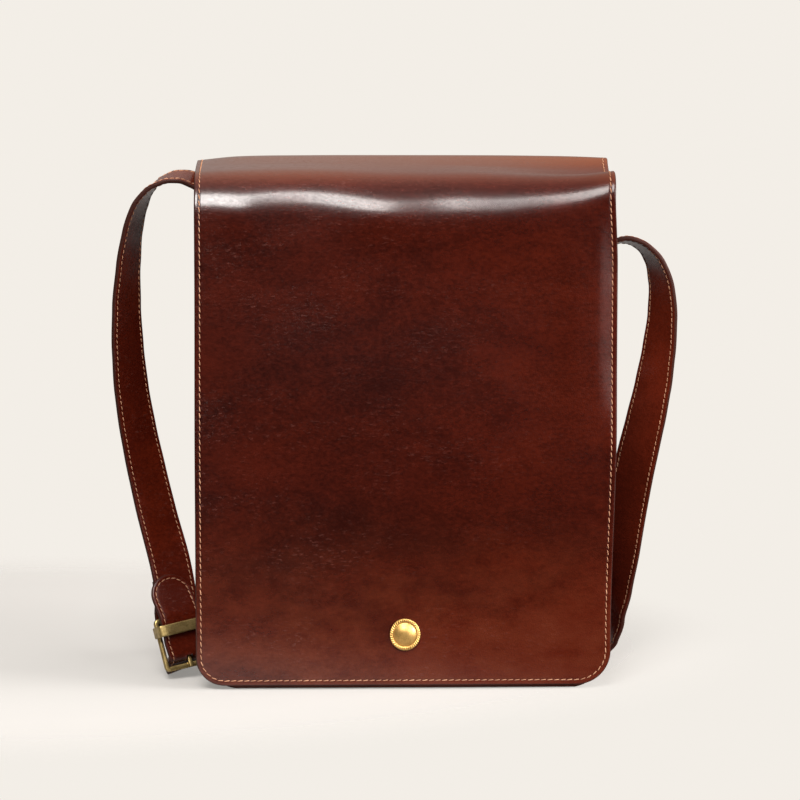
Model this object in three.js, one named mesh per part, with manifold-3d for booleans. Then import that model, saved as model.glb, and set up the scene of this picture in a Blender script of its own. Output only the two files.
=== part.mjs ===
import * as THREE from "three";
import { mergeVertices } from "three/addons/utils/BufferGeometryUtils.js";
import Module from "manifold-3d";

const wasm = await Module();
wasm.setup();

// Sizes in millimetres. X is to the right, Y to the back, Z up, and the base of the bag is on Z = 0.
const GAP = 0.3;
const BODY_HALF_WIDTH = 139;
const BODY_CORNER = 24;
const PANEL_THICKNESS = 2.2;
const FRONT_FACE = -43.7;
const BACK_FACE = 45.7;
const FRONT_HEIGHT = 330;
const BACK_HEIGHT = 350;
const GUSSET_THICKNESS = 2;
const GUSSET_HEIGHT = 326;
const GUSSET_FLAT = 19;
const SEAM_MARGIN = 9;
const FRONT_SWELL = 3.2;
const BACK_SWELL = 2;
const SWELL_FOOT = 52;
const SWELL_TOP = 296;

const FLAP_HALF_WIDTH = 145;
const FLAP_THICKNESS = 2.8;
const FLAP_FRONT = FRONT_FACE - 2 - FLAP_THICKNESS;
const FLAP_BACK = BACK_FACE + GAP + FLAP_THICKNESS;
const FLAP_LAP_FOOT = 300;
const FLAP_FOOT = 3;
const FLAP_BACK_ROUND = 8;
const FLAP_SADDLE_ROUND = 45;
const FLAP_CORNER_LEFT = 20;
const FLAP_CORNER_RIGHT = 24;
const FLAP_LEFT_SPREAD = 0.7;
const FLAP_RIGHT_SPREAD = 1.9;
const FLAP_RIGHT_DRAWN_IN = 1.4;
const EDGE_CURL = 3.6;
const EDGE_CURL_START = 130;

const STRAP_HALF_WIDTH = 15.3;
const STRAP_THICKNESS = 3.3;
const STRAP_OFF_GUSSET = GAP + 0.2 + STRAP_THICKNESS / 2;
const LAP_FOOT = 206;
const LAP_TOP = 256;

const FRAME_HALF_WIDTH = 18.6;
const FRAME_HALF_HEIGHT = 19.1;
const FRAME_RAIL = 2.9;
const FRAME_BAR = 3.7;
const FRAME_DEPTH = 3.5;
const FRAME_ROUND = 3.5;
const KEEPER_HALF_WIDTH = 20;
const KEEPER_HEIGHT = 7.8;
const KEEPER_ALONG = 9.6;
const KEEPER_INNER = 9.6;
const KEEPER_THICKNESS = 1.6;
const PRONG_WIDTH = 2.6;
const PRONG_THICKNESS = 1.8;
const PRONG_TILT = 4.9;
const PRONG_EYE = 4.6;
const PRONG_EYE_HOLE = 2.9;
const SLOT_HALF_WIDTH = 2.2;

const STUD_HEIGHT = 39.3;
const STUD_RADIUS = 11.2;
const STUD_OVAL = 0.955;
const STUD_POST = 3;
const STUD_HOLE = 3.5;
const STUD_DISC = 8;
const STUD_DISC_THICKNESS = 1.2;

// How far each side folds in at the middle of its depth, by height.
const SIDE_FOLD = [
  { z: 0, fold: 0 },
  { z: 24, fold: 5.6 },
  { z: 60, fold: 7 },
  { z: 120, fold: 10 },
  { z: 180, fold: 14.5 },
  { z: 240, fold: 20 },
  { z: 280, fold: 23.5 },
  { z: GUSSET_HEIGHT, fold: 26 },
];

// The flap's run over the top, a row for each section from the left edge to the right edge: the height
// of the rounded back ridge, the corners of the sag and of the front ridge, and the front ridge's radius.
const FLAP_SECTIONS = [
  { across: -1, back: 363.9, sagY: 0, sag: 361.8, front: 358, round: 29 },
  { across: -0.8, back: 366.9, sagY: 2, sag: 363, front: 359.5, round: 30 },
  { across: -0.45, back: 367.6, sagY: 4, sag: 363.6, front: 359.5, round: 31 },
  { across: -0.1, back: 367.7, sagY: 6, sag: 362.8, front: 356.5, round: 32 },
  { across: 0.12, back: 367.7, sagY: 6, sag: 362.2, front: 355.5, round: 32 },
  { across: 0.3, back: 367.7, sagY: 8, sag: 361.5, front: 357, round: 31 },
  { across: 0.5, back: 367.7, sagY: 8, sag: 360, front: 357, round: 29 },
  { across: 0.8, back: 367.6, sagY: 10, sag: 355.5, front: 360, round: 23 },
  { across: 1, back: 367.2, sagY: 13, sag: 351, front: 366, round: 17 },
];

// Soft swellings and hollows of the flap's front, each a smooth bump of the given reach.
const FLAP_DENTS = [
  { x: -112, z: 331, wide: 16, tall: 15, out: 1.5 },
  { x: -68, z: 333, wide: 24, tall: 15, out: -1 },
  { x: -10, z: 331, wide: 28, tall: 17, out: 2.6 },
  { x: 62, z: 328, wide: 46, tall: 18, out: 1.5 },
  { x: -70, z: 210, wide: 60, tall: 46, out: 1.2 },
  { x: 62, z: 176, wide: 56, tall: 60, out: 1.4 },
  { x: -30, z: 116, wide: 80, tall: 36, out: 0.9 },
  { x: 118, z: 256, wide: 14, tall: 60, out: 1.1 },
];

// The left strap from above its sewn lap, over its arch and down to the buckle. Swing is the compass
// angle of the strap's width from +X towards +Y, and lift its rise above the level, in degrees.
const LEFT_ROUTE = [
  { x: -119, y: 1, z: 272, swing: 90, lift: 1 },
  { x: -119.3, y: 0.8, z: 289, swing: 90, lift: 3 },
  { x: -120.8, y: 0.6, z: 306, swing: 90, lift: 6 },
  { x: -124, y: 0.4, z: 321, swing: 90, lift: 11 },
  { x: -129.2, y: 0.2, z: 334, swing: 90, lift: 15 },
  { x: -136.8, y: 0, z: 345.2, swing: 90, lift: 16 },
  { x: -146.6, y: 0, z: 352.6, swing: 90, lift: 14 },
  { x: -157.2, y: 0, z: 355, swing: 90, lift: 8 },
  { x: -168.2, y: 0, z: 352.4, swing: 87, lift: 3 },
  { x: -177.8, y: 0.2, z: 345, swing: 79, lift: 0 },
  { x: -184.6, y: 0.4, z: 333.4, swing: 72, lift: 0 },
  { x: -189.3, y: 0.8, z: 316.4, swing: 68, lift: 0 },
  { x: -192.4, y: 1.4, z: 293, swing: 62, lift: 0 },
  { x: -194, y: 2.6, z: 264, swing: 55, lift: 0 },
  { x: -193.5, y: 4.6, z: 234, swing: 49, lift: 0 },
  { x: -191.2, y: 7.4, z: 204, swing: 43.5, lift: 0 },
  { x: -186.8, y: 10.4, z: 174, swing: 38.5, lift: 1 },
  { x: -181, y: 12.4, z: 144.5, swing: 33, lift: 2 },
  { x: -174.3, y: 11.6, z: 115, swing: 29, lift: 4 },
];

// The left strap at the buckle, across and along the frame and out from its plane: down the front of the
// pivot bar.
const LEFT_TO_BAR = [
  { across: 3.7, along: 59, out: 1.9 },
  { across: 3.2, along: 46, out: 1.9 },
  { across: 2.4, along: 36, out: 2 },
  { across: 1.3, along: 27.2, out: 3 },
  { across: 0.2, along: 21.6, out: 4.15 },
];

// The turned-up end behind the pivot bar.
const LEFT_BEHIND_BAR = [
  { across: 0.2, along: 21.6, out: -4.15 },
  { across: 1.6, along: 27.2, out: -2.8 },
  { across: 2.8, along: 35, out: -1.75 },
  { across: 3.8, along: 44, out: -1.75 },
];
const BAR_TURN_STEPS = 6;
const BAR_TURN_RADIUS = 4.5;

// The right strap at the buckle, from its rounded end down to the dive behind the end bar.
const RIGHT_TO_BAR = [
  { across: -3.6, along: 48, out: 5.6 },
  { across: -3.2, along: 39, out: 6 },
  { across: -2.4, along: 30, out: 7.2 },
  { across: -1.8, along: 23.5, out: 8.2 },
  { across: -1.5, along: 17.5, out: 8.45 },
  { across: -1.4, along: 13.4, out: 7.45 },
  { across: -1.3, along: 10, out: 7.25 },
  { across: -1.2, along: 6, out: 6.7 },
  { across: -1.1, along: 2, out: 5.2 },
  { across: -0.6, along: -5.5, out: 4.9 },
  { across: -0.3, along: -8.8, out: 4.7 },
  { across: -0.1, along: -11, out: 3.1 },
  { across: 0, along: -12.3, out: 0.6 },
  { across: 0, along: -13, out: -2.4 },
  { across: 0, along: -14.6, out: -5.4 },
];

// The right strap from the buckle, round behind the bag on its edge, flat at the right corner, then up
// the right side and over its arch.
const RIGHT_ROUTE = [
  { x: -153.6, y: 3, z: 7, swing: 25, lift: 8 },
  { x: -155, y: 11, z: 7.6, swing: 23, lift: 15 },
  { x: -157, y: 24, z: 10, swing: 20, lift: 29 },
  { x: -159.6, y: 42, z: 14.2, swing: 20, lift: 55 },
  { x: -156.8, y: 62, z: 16.3, swing: 30, lift: 80 },
  { x: -143, y: 80, z: 16.2, swing: 60, lift: 90 },
  { x: -118, y: 91, z: 16.2, swing: 80, lift: 90 },
  { x: -80, y: 94.5, z: 16.2, swing: 90, lift: 90 },
  { x: -36, y: 92.5, z: 16.2, swing: 90, lift: 90 },
  { x: 8, y: 87, z: 16.2, swing: 90, lift: 90 },
  { x: 48, y: 80, z: 16.1, swing: 90, lift: 80 },
  { x: 80, y: 74, z: 14, swing: 90, lift: 55 },
  { x: 105, y: 70, z: 9.4, swing: 90, lift: 27 },
  { x: 124, y: 67.5, z: 4.8, swing: 90, lift: 9 },
  { x: 136, y: 66.5, z: 2.7, swing: 90, lift: 2 },
  { x: 144.3, y: 66, z: 4.2, swing: 90, lift: 0 },
  { x: 149.2, y: 65, z: 9.6, swing: 95, lift: 0 },
  { x: 150.5, y: 62.3, z: 19, swing: 107, lift: 0 },
  { x: 150.6, y: 55.2, z: 35, swing: 125, lift: 0 },
  { x: 152.9, y: 47, z: 57, swing: 141, lift: 0 },
  { x: 156.6, y: 38, z: 88, swing: 153, lift: 0 },
  { x: 160.8, y: 30, z: 121, swing: 157, lift: 0 },
  { x: 166, y: 23.4, z: 151, swing: 152.5, lift: 0 },
  { x: 172, y: 18, z: 180, swing: 146.5, lift: 0 },
  { x: 176.8, y: 14.5, z: 205, swing: 139.5, lift: 0 },
  { x: 180.3, y: 10.5, z: 230, swing: 132, lift: 0 },
  { x: 182.3, y: 6.6, z: 256, swing: 124.5, lift: 0 },
  { x: 181.1, y: 3, z: 278, swing: 118, lift: 0 },
  { x: 176, y: 0.8, z: 295, swing: 110, lift: -3 },
  { x: 167.3, y: 0.2, z: 305.6, swing: 99, lift: -9 },
  { x: 157, y: 0, z: 310, swing: 91, lift: -10.5 },
  { x: 146.6, y: 0, z: 308.6, swing: 90, lift: -8 },
  { x: 136.8, y: 0.1, z: 303.4, swing: 90, lift: -6 },
  { x: 128.2, y: 0.3, z: 295, swing: 90, lift: -4 },
  { x: 122, y: 0.6, z: 284, swing: 90, lift: -3 },
  { x: 119.4, y: 0.9, z: 270, swing: 90, lift: 0 },
];

// The fastened buckle: the middle of its frame, and the directions across, along and out of its plane.
const BUCKLE_AT = new THREE.Vector3(-155.5, -4, 26.4);
const BUCKLE_ACROSS = widthDirection(25, 8);
const BUCKLE_LEAN = new THREE.Vector3(-0.25, 0.206, 0.946);
const BUCKLE_ALONG = BUCKLE_LEAN.clone().addScaledVector(BUCKLE_ACROSS, -BUCKLE_LEAN.dot(BUCKLE_ACROSS)).normalize();
const BUCKLE_OUT = new THREE.Vector3().crossVectors(BUCKLE_ACROSS, BUCKLE_ALONG);
const BUCKLE_PLACE = new THREE.Matrix4()
  .makeBasis(BUCKLE_ACROSS, BUCKLE_ALONG, BUCKLE_OUT)
  .setPosition(BUCKLE_AT);
const PIVOT_ALONG = FRAME_HALF_HEIGHT - FRAME_BAR / 2;

const LEATHER = { color: 0x4a150d, roughness: 0.45, metalness: 0 };
const INNER_LEATHER = { color: 0x58281c, roughness: 0.6, metalness: 0 };
const BRASS = { color: 0x8a6c38, roughness: 0.35, metalness: 1 };
const BRIGHT_BRASS = { color: 0xc79a54, roughness: 0.3, metalness: 1 };

function widthDirection(swing, lift) {
  const s = THREE.MathUtils.degToRad(swing);
  const l = THREE.MathUtils.degToRad(lift);
  return new THREE.Vector3(Math.cos(l) * Math.cos(s), Math.cos(l) * Math.sin(s), Math.sin(l));
}

function onBuckle(across, along, out) {
  return new THREE.Vector3(across, along, out).applyMatrix4(BUCKLE_PLACE);
}

function easeIn(from, to, value) {
  return THREE.MathUtils.smoothstep(value, from, to);
}

// Smooth value of one column of a table at a place along another column.
function tableAt(rows, key, column, place) {
  const last = rows.length - 1;
  const slope = (i) => {
    const a = rows[Math.max(i - 1, 0)];
    const b = rows[Math.min(i + 1, last)];
    return (b[column] - a[column]) / (b[key] - a[key]);
  };
  let i = 0;
  while (i < last - 1 && place > rows[i + 1][key]) i += 1;
  const a = rows[i];
  const b = rows[i + 1];
  const span = b[key] - a[key];
  const t = THREE.MathUtils.clamp((place - a[key]) / span, 0, 1);
  const rise = 3 * t * t - 2 * t * t * t;
  const leave = t - 2 * t * t + t * t * t;
  const arrive = t * t * t - t * t;
  const ends = a[column] * (1 - rise) + b[column] * rise;
  return ends + span * (leave * slope(i) + arrive * slope(i + 1));
}

function sideFold(z) {
  return tableAt(SIDE_FOLD, "z", "fold", z);
}

function sidePlace(z) {
  return BODY_HALF_WIDTH - sideFold(z);
}

// Half the width of the pocket at a height, narrowed by its rounded lower corners.
function pocketHalfWidth(z) {
  const into = Math.max(BODY_CORNER - z, 0);
  return BODY_HALF_WIDTH - BODY_CORNER + Math.sqrt(BODY_CORNER ** 2 - into ** 2);
}

// Outward swell of a pocket wall, nothing along its seams and its upper part.
function swell(x, z) {
  const sideways = Math.cos((Math.PI / 2) * Math.min(Math.abs(x) / BODY_HALF_WIDTH, 1));
  const up = THREE.MathUtils.clamp((z - SWELL_FOOT) / (SWELL_TOP - SWELL_FOOT), 0, 1);
  const upward = Math.sin(Math.PI * up);
  return sideways * upward ** 2;
}

function dents(x, z) {
  let out = 0;
  for (const d of FLAP_DENTS) out += d.out * Math.exp(-(((x - d.x) / d.wide) ** 2) - ((z - d.z) / d.tall) ** 2);
  return out;
}

// Where the flap's front lies at a place on it: swollen, dented, and curled back at its right edge.
function flapFront(x, z) {
  const curl = easeIn(EDGE_CURL_START, FLAP_HALF_WIDTH, x) ** 2;
  const zone = easeIn(170, 240, z) * (1 - easeIn(300, 346, z));
  return FLAP_FRONT - FRONT_SWELL * swell(x, z) - dents(x, z) + EDGE_CURL * curl * zone;
}

// A closed sheet between two matching grids of points.
function sheet(outer, inner) {
  const rows = outer.length;
  const columns = outer[0].length;
  const points = [...outer.flat(), ...inner.flat()];
  const out = (i, j) => i * columns + j;
  const back = (i, j) => rows * columns + i * columns + j;
  const index = [];
  const quad = (a, b, c, d) => index.push(a, b, c, a, c, d);
  for (let i = 0; i < rows - 1; i += 1) {
    for (let j = 0; j < columns - 1; j += 1) {
      quad(out(i, j), out(i + 1, j), out(i + 1, j + 1), out(i, j + 1));
      quad(back(i, j), back(i, j + 1), back(i + 1, j + 1), back(i + 1, j));
    }
    const far = columns - 1;
    quad(out(i + 1, 0), out(i, 0), back(i, 0), back(i + 1, 0));
    quad(out(i, far), out(i + 1, far), back(i + 1, far), back(i, far));
  }
  for (let j = 0; j < columns - 1; j += 1) {
    const far = rows - 1;
    quad(out(0, j), out(0, j + 1), back(0, j + 1), back(0, j));
    quad(out(far, j + 1), out(far, j), back(far, j), back(far, j + 1));
  }
  return facingOut(points, index);
}

// The triangles as a geometry whose faces point out.
function facingOut(points, index) {
  let volume = 0;
  for (let i = 0; i < index.length; i += 3) {
    const [a, b, c] = [points[index[i]], points[index[i + 1]], points[index[i + 2]]];
    volume += a.dot(new THREE.Vector3().crossVectors(b, c));
  }
  if (volume < 0) index.reverse();
  const geometry = new THREE.BufferGeometry().setFromPoints(points);
  geometry.setIndex(index);
  geometry.computeVertexNormals();
  return geometry;
}

function solidOf(geometry) {
  const bare = geometry.clone();
  bare.deleteAttribute("normal");
  bare.deleteAttribute("uv");
  const merged = mergeVertices(bare, 1e-4);
  const vertProperties = new Float32Array(merged.attributes.position.array);
  const triVerts = new Uint32Array(merged.index.array);
  return new wasm.Manifold(new wasm.Mesh({ numProp: 3, vertProperties, triVerts }));
}

function geometryOf(solid) {
  const mesh = solid.getMesh();
  const geometry = new THREE.BufferGeometry();
  geometry.setAttribute("position", new THREE.BufferAttribute(mesh.vertProperties, 3));
  geometry.setIndex(new THREE.BufferAttribute(mesh.triVerts, 1));
  geometry.computeVertexNormals();
  return geometry;
}

// A box in the buckle's own directions, between two corners.
function buckleBox(low, high) {
  const size = high.map((value, k) => value - low[k]);
  const middle = high.map((value, k) => (value + low[k]) / 2);
  return solidOf(new THREE.BoxGeometry(...size).translate(...middle).applyMatrix4(BUCKLE_PLACE));
}

// The side and bottom strip: a channel with its margins turned in, carried down the left side, along the
// bottom and up the right side.
function gussetGeometry() {
  const front = FRONT_FACE + PANEL_THICKNESS + GAP;
  const back = BACK_FACE - PANEL_THICKNESS - GAP;
  const stations = [];
  const sideSteps = 15;
  const cornerSteps = 5;
  const baseSteps = 4;
  for (let i = 0; i < sideSteps; i += 1) {
    const z = THREE.MathUtils.lerp(GUSSET_HEIGHT, BODY_CORNER, i / sideSteps);
    stations.push({ x: -BODY_HALF_WIDTH, z, dx: -1, dz: 0 });
  }
  for (let i = 0; i <= cornerSteps; i += 1) {
    const turn = (i / cornerSteps) * (Math.PI / 2);
    const dx = -Math.cos(turn);
    const dz = -Math.sin(turn);
    const x = -BODY_HALF_WIDTH + BODY_CORNER + BODY_CORNER * dx;
    stations.push({ x, z: BODY_CORNER + BODY_CORNER * dz, dx, dz });
  }
  for (let i = 1; i < baseSteps; i += 1) {
    const half = BODY_HALF_WIDTH - BODY_CORNER;
    stations.push({ x: THREE.MathUtils.lerp(-half, half, i / baseSteps), z: 0, dx: 0, dz: -1 });
  }
  const mirrored = stations.slice(0, sideSteps + cornerSteps + 1).reverse();
  for (const s of mirrored) stations.push({ x: -s.x, z: s.z, dx: -s.dx, dz: s.dz });
  const acrossSteps = 8;
  const place = (s, y, out) => new THREE.Vector3(s.x + s.dx * out, y, s.z + s.dz * out);
  const profile = (s, thickness) => {
    const low = front + thickness;
    const high = back - thickness;
    const middle = (front + back) / 2;
    const points = [place(s, low, -SEAM_MARGIN)];
    for (let j = 0; j <= acrossSteps; j += 1) {
      const y = THREE.MathUtils.lerp(low, high, j / acrossSteps);
      const slant = 1 - easeIn(GUSSET_FLAT, (back - front) / 2, Math.abs(y - middle));
      points.push(place(s, y, -sideFold(s.z) * slant - thickness));
    }
    points.push(place(s, high, -SEAM_MARGIN));
    return points;
  };
  const outer = stations.map((s) => profile(s, 0));
  const inner = stations.map((s) => profile(s, GUSSET_THICKNESS));
  return sheet(outer, inner);
}

// A pocket wall with rounded lower corners: its outer face, its top, and which way and how far it swells.
function panelGeometry(face, height, way, swellBy) {
  const up = 12;
  const acrossSteps = 8;
  const outer = [];
  const inner = [];
  for (let i = 0; i <= up; i += 1) {
    const t = i / up;
    const z = GAP + (height - GAP) * t ** 1.4;
    const half = pocketHalfWidth(z);
    const grid = Array.from({ length: acrossSteps + 1 }, (_, j) => half * (2 * (j / acrossSteps) - 1));
    outer.push(grid.map((x) => new THREE.Vector3(x, face + way * swellBy * swell(x, z), z)));
    inner.push(
      grid.map((x) => new THREE.Vector3(x, face + way * (swellBy * swell(x, z) - PANEL_THICKNESS), z)),
    );
  }
  return sheet(outer, inner);
}

// Points along corners joined by arcs: every straight and every arc has a set number of steps.
function roundedRun(corners, straightSteps, arcSteps) {
  const run = [];
  let start = new THREE.Vector2(corners[0].y, corners[0].z);
  for (let k = 1; k < corners.length; k += 1) {
    const corner = new THREE.Vector2(corners[k].y, corners[k].z);
    const from = new THREE.Vector2(corners[k - 1].y, corners[k - 1].z).sub(corner).normalize();
    const next = corners[k + 1];
    const steps = straightSteps[k - 1];
    let end = corner;
    let arc = [];
    if (next) {
      const to = new THREE.Vector2(next.y, next.z).sub(corner).normalize();
      const half = Math.acos(THREE.MathUtils.clamp(from.dot(to), -1, 1)) / 2;
      const reach = corners[k].round / Math.tan(half);
      end = corner.clone().addScaledVector(from, reach);
      const leave = corner.clone().addScaledVector(to, reach);
      const inward = from.clone().add(to).normalize();
      const centre = corner.clone().addScaledVector(inward, corners[k].round / Math.sin(half));
      const a0 = end.clone().sub(centre);
      const sweep = Math.atan2(a0.cross(leave.clone().sub(centre)), a0.dot(leave.clone().sub(centre)));
      arc = Array.from({ length: arcSteps[k - 1] }, (_, i) =>
        end.clone().rotateAround(centre, (sweep * (i + 1)) / arcSteps[k - 1]),
      );
    }
    for (let i = 0; i < steps; i += 1) run.push(start.clone().lerp(end, i / steps));
    run.push(end, ...arc);
    start = arc.length ? run.pop() : end;
  }
  return run;
}

// The flap's outer face at a place across it, from the foot of its lap at the back to its free edge.
function flapRun(across) {
  const at = (column) => tableAt(FLAP_SECTIONS, "across", column, across);
  const x = across * FLAP_HALF_WIDTH;
  const fall = Math.atan2(at("back") - at("sag"), FLAP_BACK - at("sagY"));
  const ridge = at("back") + FLAP_BACK_ROUND * (1 / Math.tan(Math.PI / 4 - fall / 2) - 1);
  const corners = [
    { y: FLAP_BACK, z: FLAP_LAP_FOOT },
    { y: FLAP_BACK, z: ridge, round: FLAP_BACK_ROUND },
    { y: at("sagY"), z: at("sag"), round: FLAP_SADDLE_ROUND },
    { y: FLAP_FRONT, z: at("front"), round: at("round") },
    { y: FLAP_FRONT, z: FLAP_FOOT },
  ];
  const run = roundedRun(corners, [2, 2, 2, 1], [5, 4, 7]);
  const bendEnd = run.at(-2);
  const points = run.slice(0, -2).map((p) => {
    const lean = easeIn(10, -FLAP_FRONT, -p.x);
    return new THREE.Vector3(x, p.x + (flapFront(x, p.y) - FLAP_FRONT) * lean, p.y);
  });
  const cornerTop = FLAP_FOOT + FLAP_CORNER_RIGHT;
  const frontSteps = 9;
  const cornerSteps = 5;
  const heights = [];
  for (let i = 0; i < frontSteps; i += 1) heights.push(THREE.MathUtils.lerp(bendEnd.y, cornerTop, i / frontSteps));
  for (let i = 0; i <= cornerSteps; i += 1) {
    heights.push(cornerTop - FLAP_CORNER_RIGHT * Math.sin((i / cornerSteps) * (Math.PI / 2)));
  }
  for (const z of heights) {
    const leftSpread = FLAP_LEFT_SPREAD * (1 - easeIn(150, 300, z));
    const left = edgeInset(z, FLAP_CORNER_LEFT) - FLAP_HALF_WIDTH - leftSpread;
    const drawn = THREE.MathUtils.lerp(-FLAP_RIGHT_DRAWN_IN, FLAP_RIGHT_SPREAD, easeIn(40, 190, z));
    const spread = drawn * (1 - easeIn(296, 348, z));
    const right = FLAP_HALF_WIDTH + spread - edgeInset(z, FLAP_CORNER_RIGHT);
    const px = THREE.MathUtils.lerp(left, right, (across + 1) / 2);
    points.push(new THREE.Vector3(px, flapFront(px, z), z));
  }
  return points;
}

function edgeInset(z, round) {
  const into = Math.max(FLAP_FOOT + round - z, 0);
  return round - Math.sqrt(round ** 2 - into ** 2);
}

// The flap as one sheet: its inner face lies one thickness behind its outer face.
function flapGeometry() {
  const acrossSteps = 24;
  const outer = Array.from({ length: acrossSteps + 1 }, (_, i) => flapRun((2 * i) / acrossSteps - 1));
  const inner = outer.map((run, i) =>
    run.map((p, j) => {
      const along = run[Math.min(j + 1, run.length - 1)].clone().sub(run[Math.max(j - 1, 0)]);
      const beside = outer[Math.min(i + 1, acrossSteps)][j].clone().sub(outer[Math.max(i - 1, 0)][j]);
      const normal = new THREE.Vector3().crossVectors(beside, along).normalize();
      return p.clone().addScaledVector(normal, FLAP_THICKNESS);
    }),
  );
  return sheet(outer, inner);
}

// A flat strap carried along rows of points with the direction of its width, rounded at its first end.
function strapGeometry(rows, stepsPerRow, tipLength) {
  const curve = new THREE.CatmullRomCurve3(rows.map((r) => r.at));
  const count = (rows.length - 1) * stepsPerRow;
  const outer = [];
  const inner = [];
  let walked = 0;
  let before = null;
  for (let i = 0; i <= count; i += 1) {
    const at = curve.getPoint(i / count);
    if (before) walked += at.distanceTo(before);
    before = at;
    const k = Math.min(Math.floor(i / stepsPerRow), rows.length - 2);
    const blend = easeIn(0, 1, i / stepsPerRow - k);
    const tangent = curve.getTangent(i / count).normalize();
    const width = rows[k].width.clone().lerp(rows[k + 1].width, blend);
    width.addScaledVector(tangent, -width.dot(tangent)).normalize();
    const face = new THREE.Vector3().crossVectors(tangent, width);
    const short = Math.max(1 - (walked + 0.4) / tipLength, 0);
    const half = STRAP_HALF_WIDTH * Math.sqrt(1 - short ** 2);
    const points = [-1, 0, 1].map((side) => at.clone().addScaledVector(width, side * half));
    outer.push(points.map((p) => p.clone().addScaledVector(face, STRAP_THICKNESS / 2)));
    inner.push(points.map((p) => p.clone().addScaledVector(face, -STRAP_THICKNESS / 2)));
  }
  return sheet(outer, inner);
}

function routeRow(row) {
  return { at: new THREE.Vector3(row.x, row.y, row.z), width: widthDirection(row.swing, row.lift) };
}

function buckleRow(row) {
  return { at: onBuckle(row.across, row.along, row.out), width: BUCKLE_ACROSS.clone() };
}

// The sewn lap of a strap on the flat middle of a side.
function lapRows(side) {
  const heights = [0, 1, 2, 3].map((i) => THREE.MathUtils.lerp(LAP_TOP, LAP_FOOT, i / 3));
  const middle = (FRONT_FACE + BACK_FACE) / 2;
  return heights.map((z) => ({
    at: new THREE.Vector3(side * (sidePlace(z) + STRAP_OFF_GUSSET), middle, z),
    width: new THREE.Vector3(0, 1, 0),
  }));
}

// The left strap, from its turned-up end behind the pivot bar to its lap on the left side.
function leftStrapGeometry() {
  const turn = Array.from({ length: BAR_TURN_STEPS + 1 }, (_, i) => {
    const angle = (i / BAR_TURN_STEPS) * Math.PI;
    const along = PIVOT_ALONG - BAR_TURN_RADIUS * Math.sin(angle);
    return { across: 0, along, out: -BAR_TURN_RADIUS * Math.cos(angle) };
  });
  const atBuckle = [...LEFT_BEHIND_BAR].reverse().concat(turn, [...LEFT_TO_BAR].reverse());
  const rows = [...atBuckle.map(buckleRow), ...[...LEFT_ROUTE].reverse().map(routeRow), ...lapRows(-1)];
  const slot = buckleBox(
    [-SLOT_HALF_WIDTH, PIVOT_ALONG - PRONG_EYE - 3, -9],
    [SLOT_HALF_WIDTH, PIVOT_ALONG + PRONG_EYE + 2, 9],
  );
  return geometryOf(solidOf(strapGeometry(rows, 3, 1)).subtract(slot));
}

// The right strap, from its rounded end in the buckle to its lap on the right side, with the prong's hole.
function rightStrapGeometry() {
  const rows = [...RIGHT_TO_BAR.map(buckleRow), ...RIGHT_ROUTE.map(routeRow), ...lapRows(1)];
  const hole = buckleBox([-SLOT_HALF_WIDTH, -15, 1], [SLOT_HALF_WIDTH, -4, 3.9]);
  return geometryOf(solidOf(strapGeometry(rows, 3, STRAP_HALF_WIDTH)).subtract(hole));
}

function roundedRectangle(path, halfWidth, halfHeight, round) {
  path.moveTo(halfWidth, round - halfHeight);
  path.lineTo(halfWidth, halfHeight - round);
  path.absarc(halfWidth - round, halfHeight - round, round, 0, Math.PI / 2);
  path.lineTo(round - halfWidth, halfHeight);
  path.absarc(round - halfWidth, halfHeight - round, round, Math.PI / 2, Math.PI);
  path.lineTo(-halfWidth, round - halfHeight);
  path.absarc(round - halfWidth, round - halfHeight, round, Math.PI, Math.PI * 1.5);
  path.lineTo(halfWidth - round, -halfHeight);
  path.absarc(halfWidth - round, round - halfHeight, round, Math.PI * 1.5, Math.PI * 2);
  return path;
}

// The buckle's frame: a rounded ring whose upper side is the pivot bar, with the keeper bar bent round its rails.
function frameGeometry() {
  const shape = roundedRectangle(new THREE.Shape(), FRAME_HALF_WIDTH, FRAME_HALF_HEIGHT, FRAME_ROUND);
  const innerWidth = FRAME_HALF_WIDTH - FRAME_RAIL;
  const innerHeight = FRAME_HALF_HEIGHT - FRAME_BAR;
  shape.holes.push(roundedRectangle(new THREE.Path(), innerWidth, innerHeight, 0.4));
  const ring = new THREE.ExtrudeGeometry(shape, { depth: FRAME_DEPTH, bevelEnabled: false, curveSegments: 4 });
  ring.translate(0, 0, -FRAME_DEPTH / 2).applyMatrix4(BUCKLE_PLACE);
  const low = KEEPER_ALONG - KEEPER_HEIGHT / 2;
  const high = KEEPER_ALONG + KEEPER_HEIGHT / 2;
  const top = KEEPER_INNER + KEEPER_THICKNESS;
  const back = -FRAME_DEPTH / 2;
  const inside = FRAME_HALF_WIDTH - 0.4;
  const plate = buckleBox([-KEEPER_HALF_WIDTH, low, KEEPER_INNER], [KEEPER_HALF_WIDTH, high, top]);
  const leftLeg = buckleBox([-KEEPER_HALF_WIDTH, low, back], [-inside, high, top]);
  const rightLeg = buckleBox([inside, low, back], [KEEPER_HALF_WIDTH, high, top]);
  return geometryOf(solidOf(ring).add(plate).add(leftLeg).add(rightLeg));
}

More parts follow.
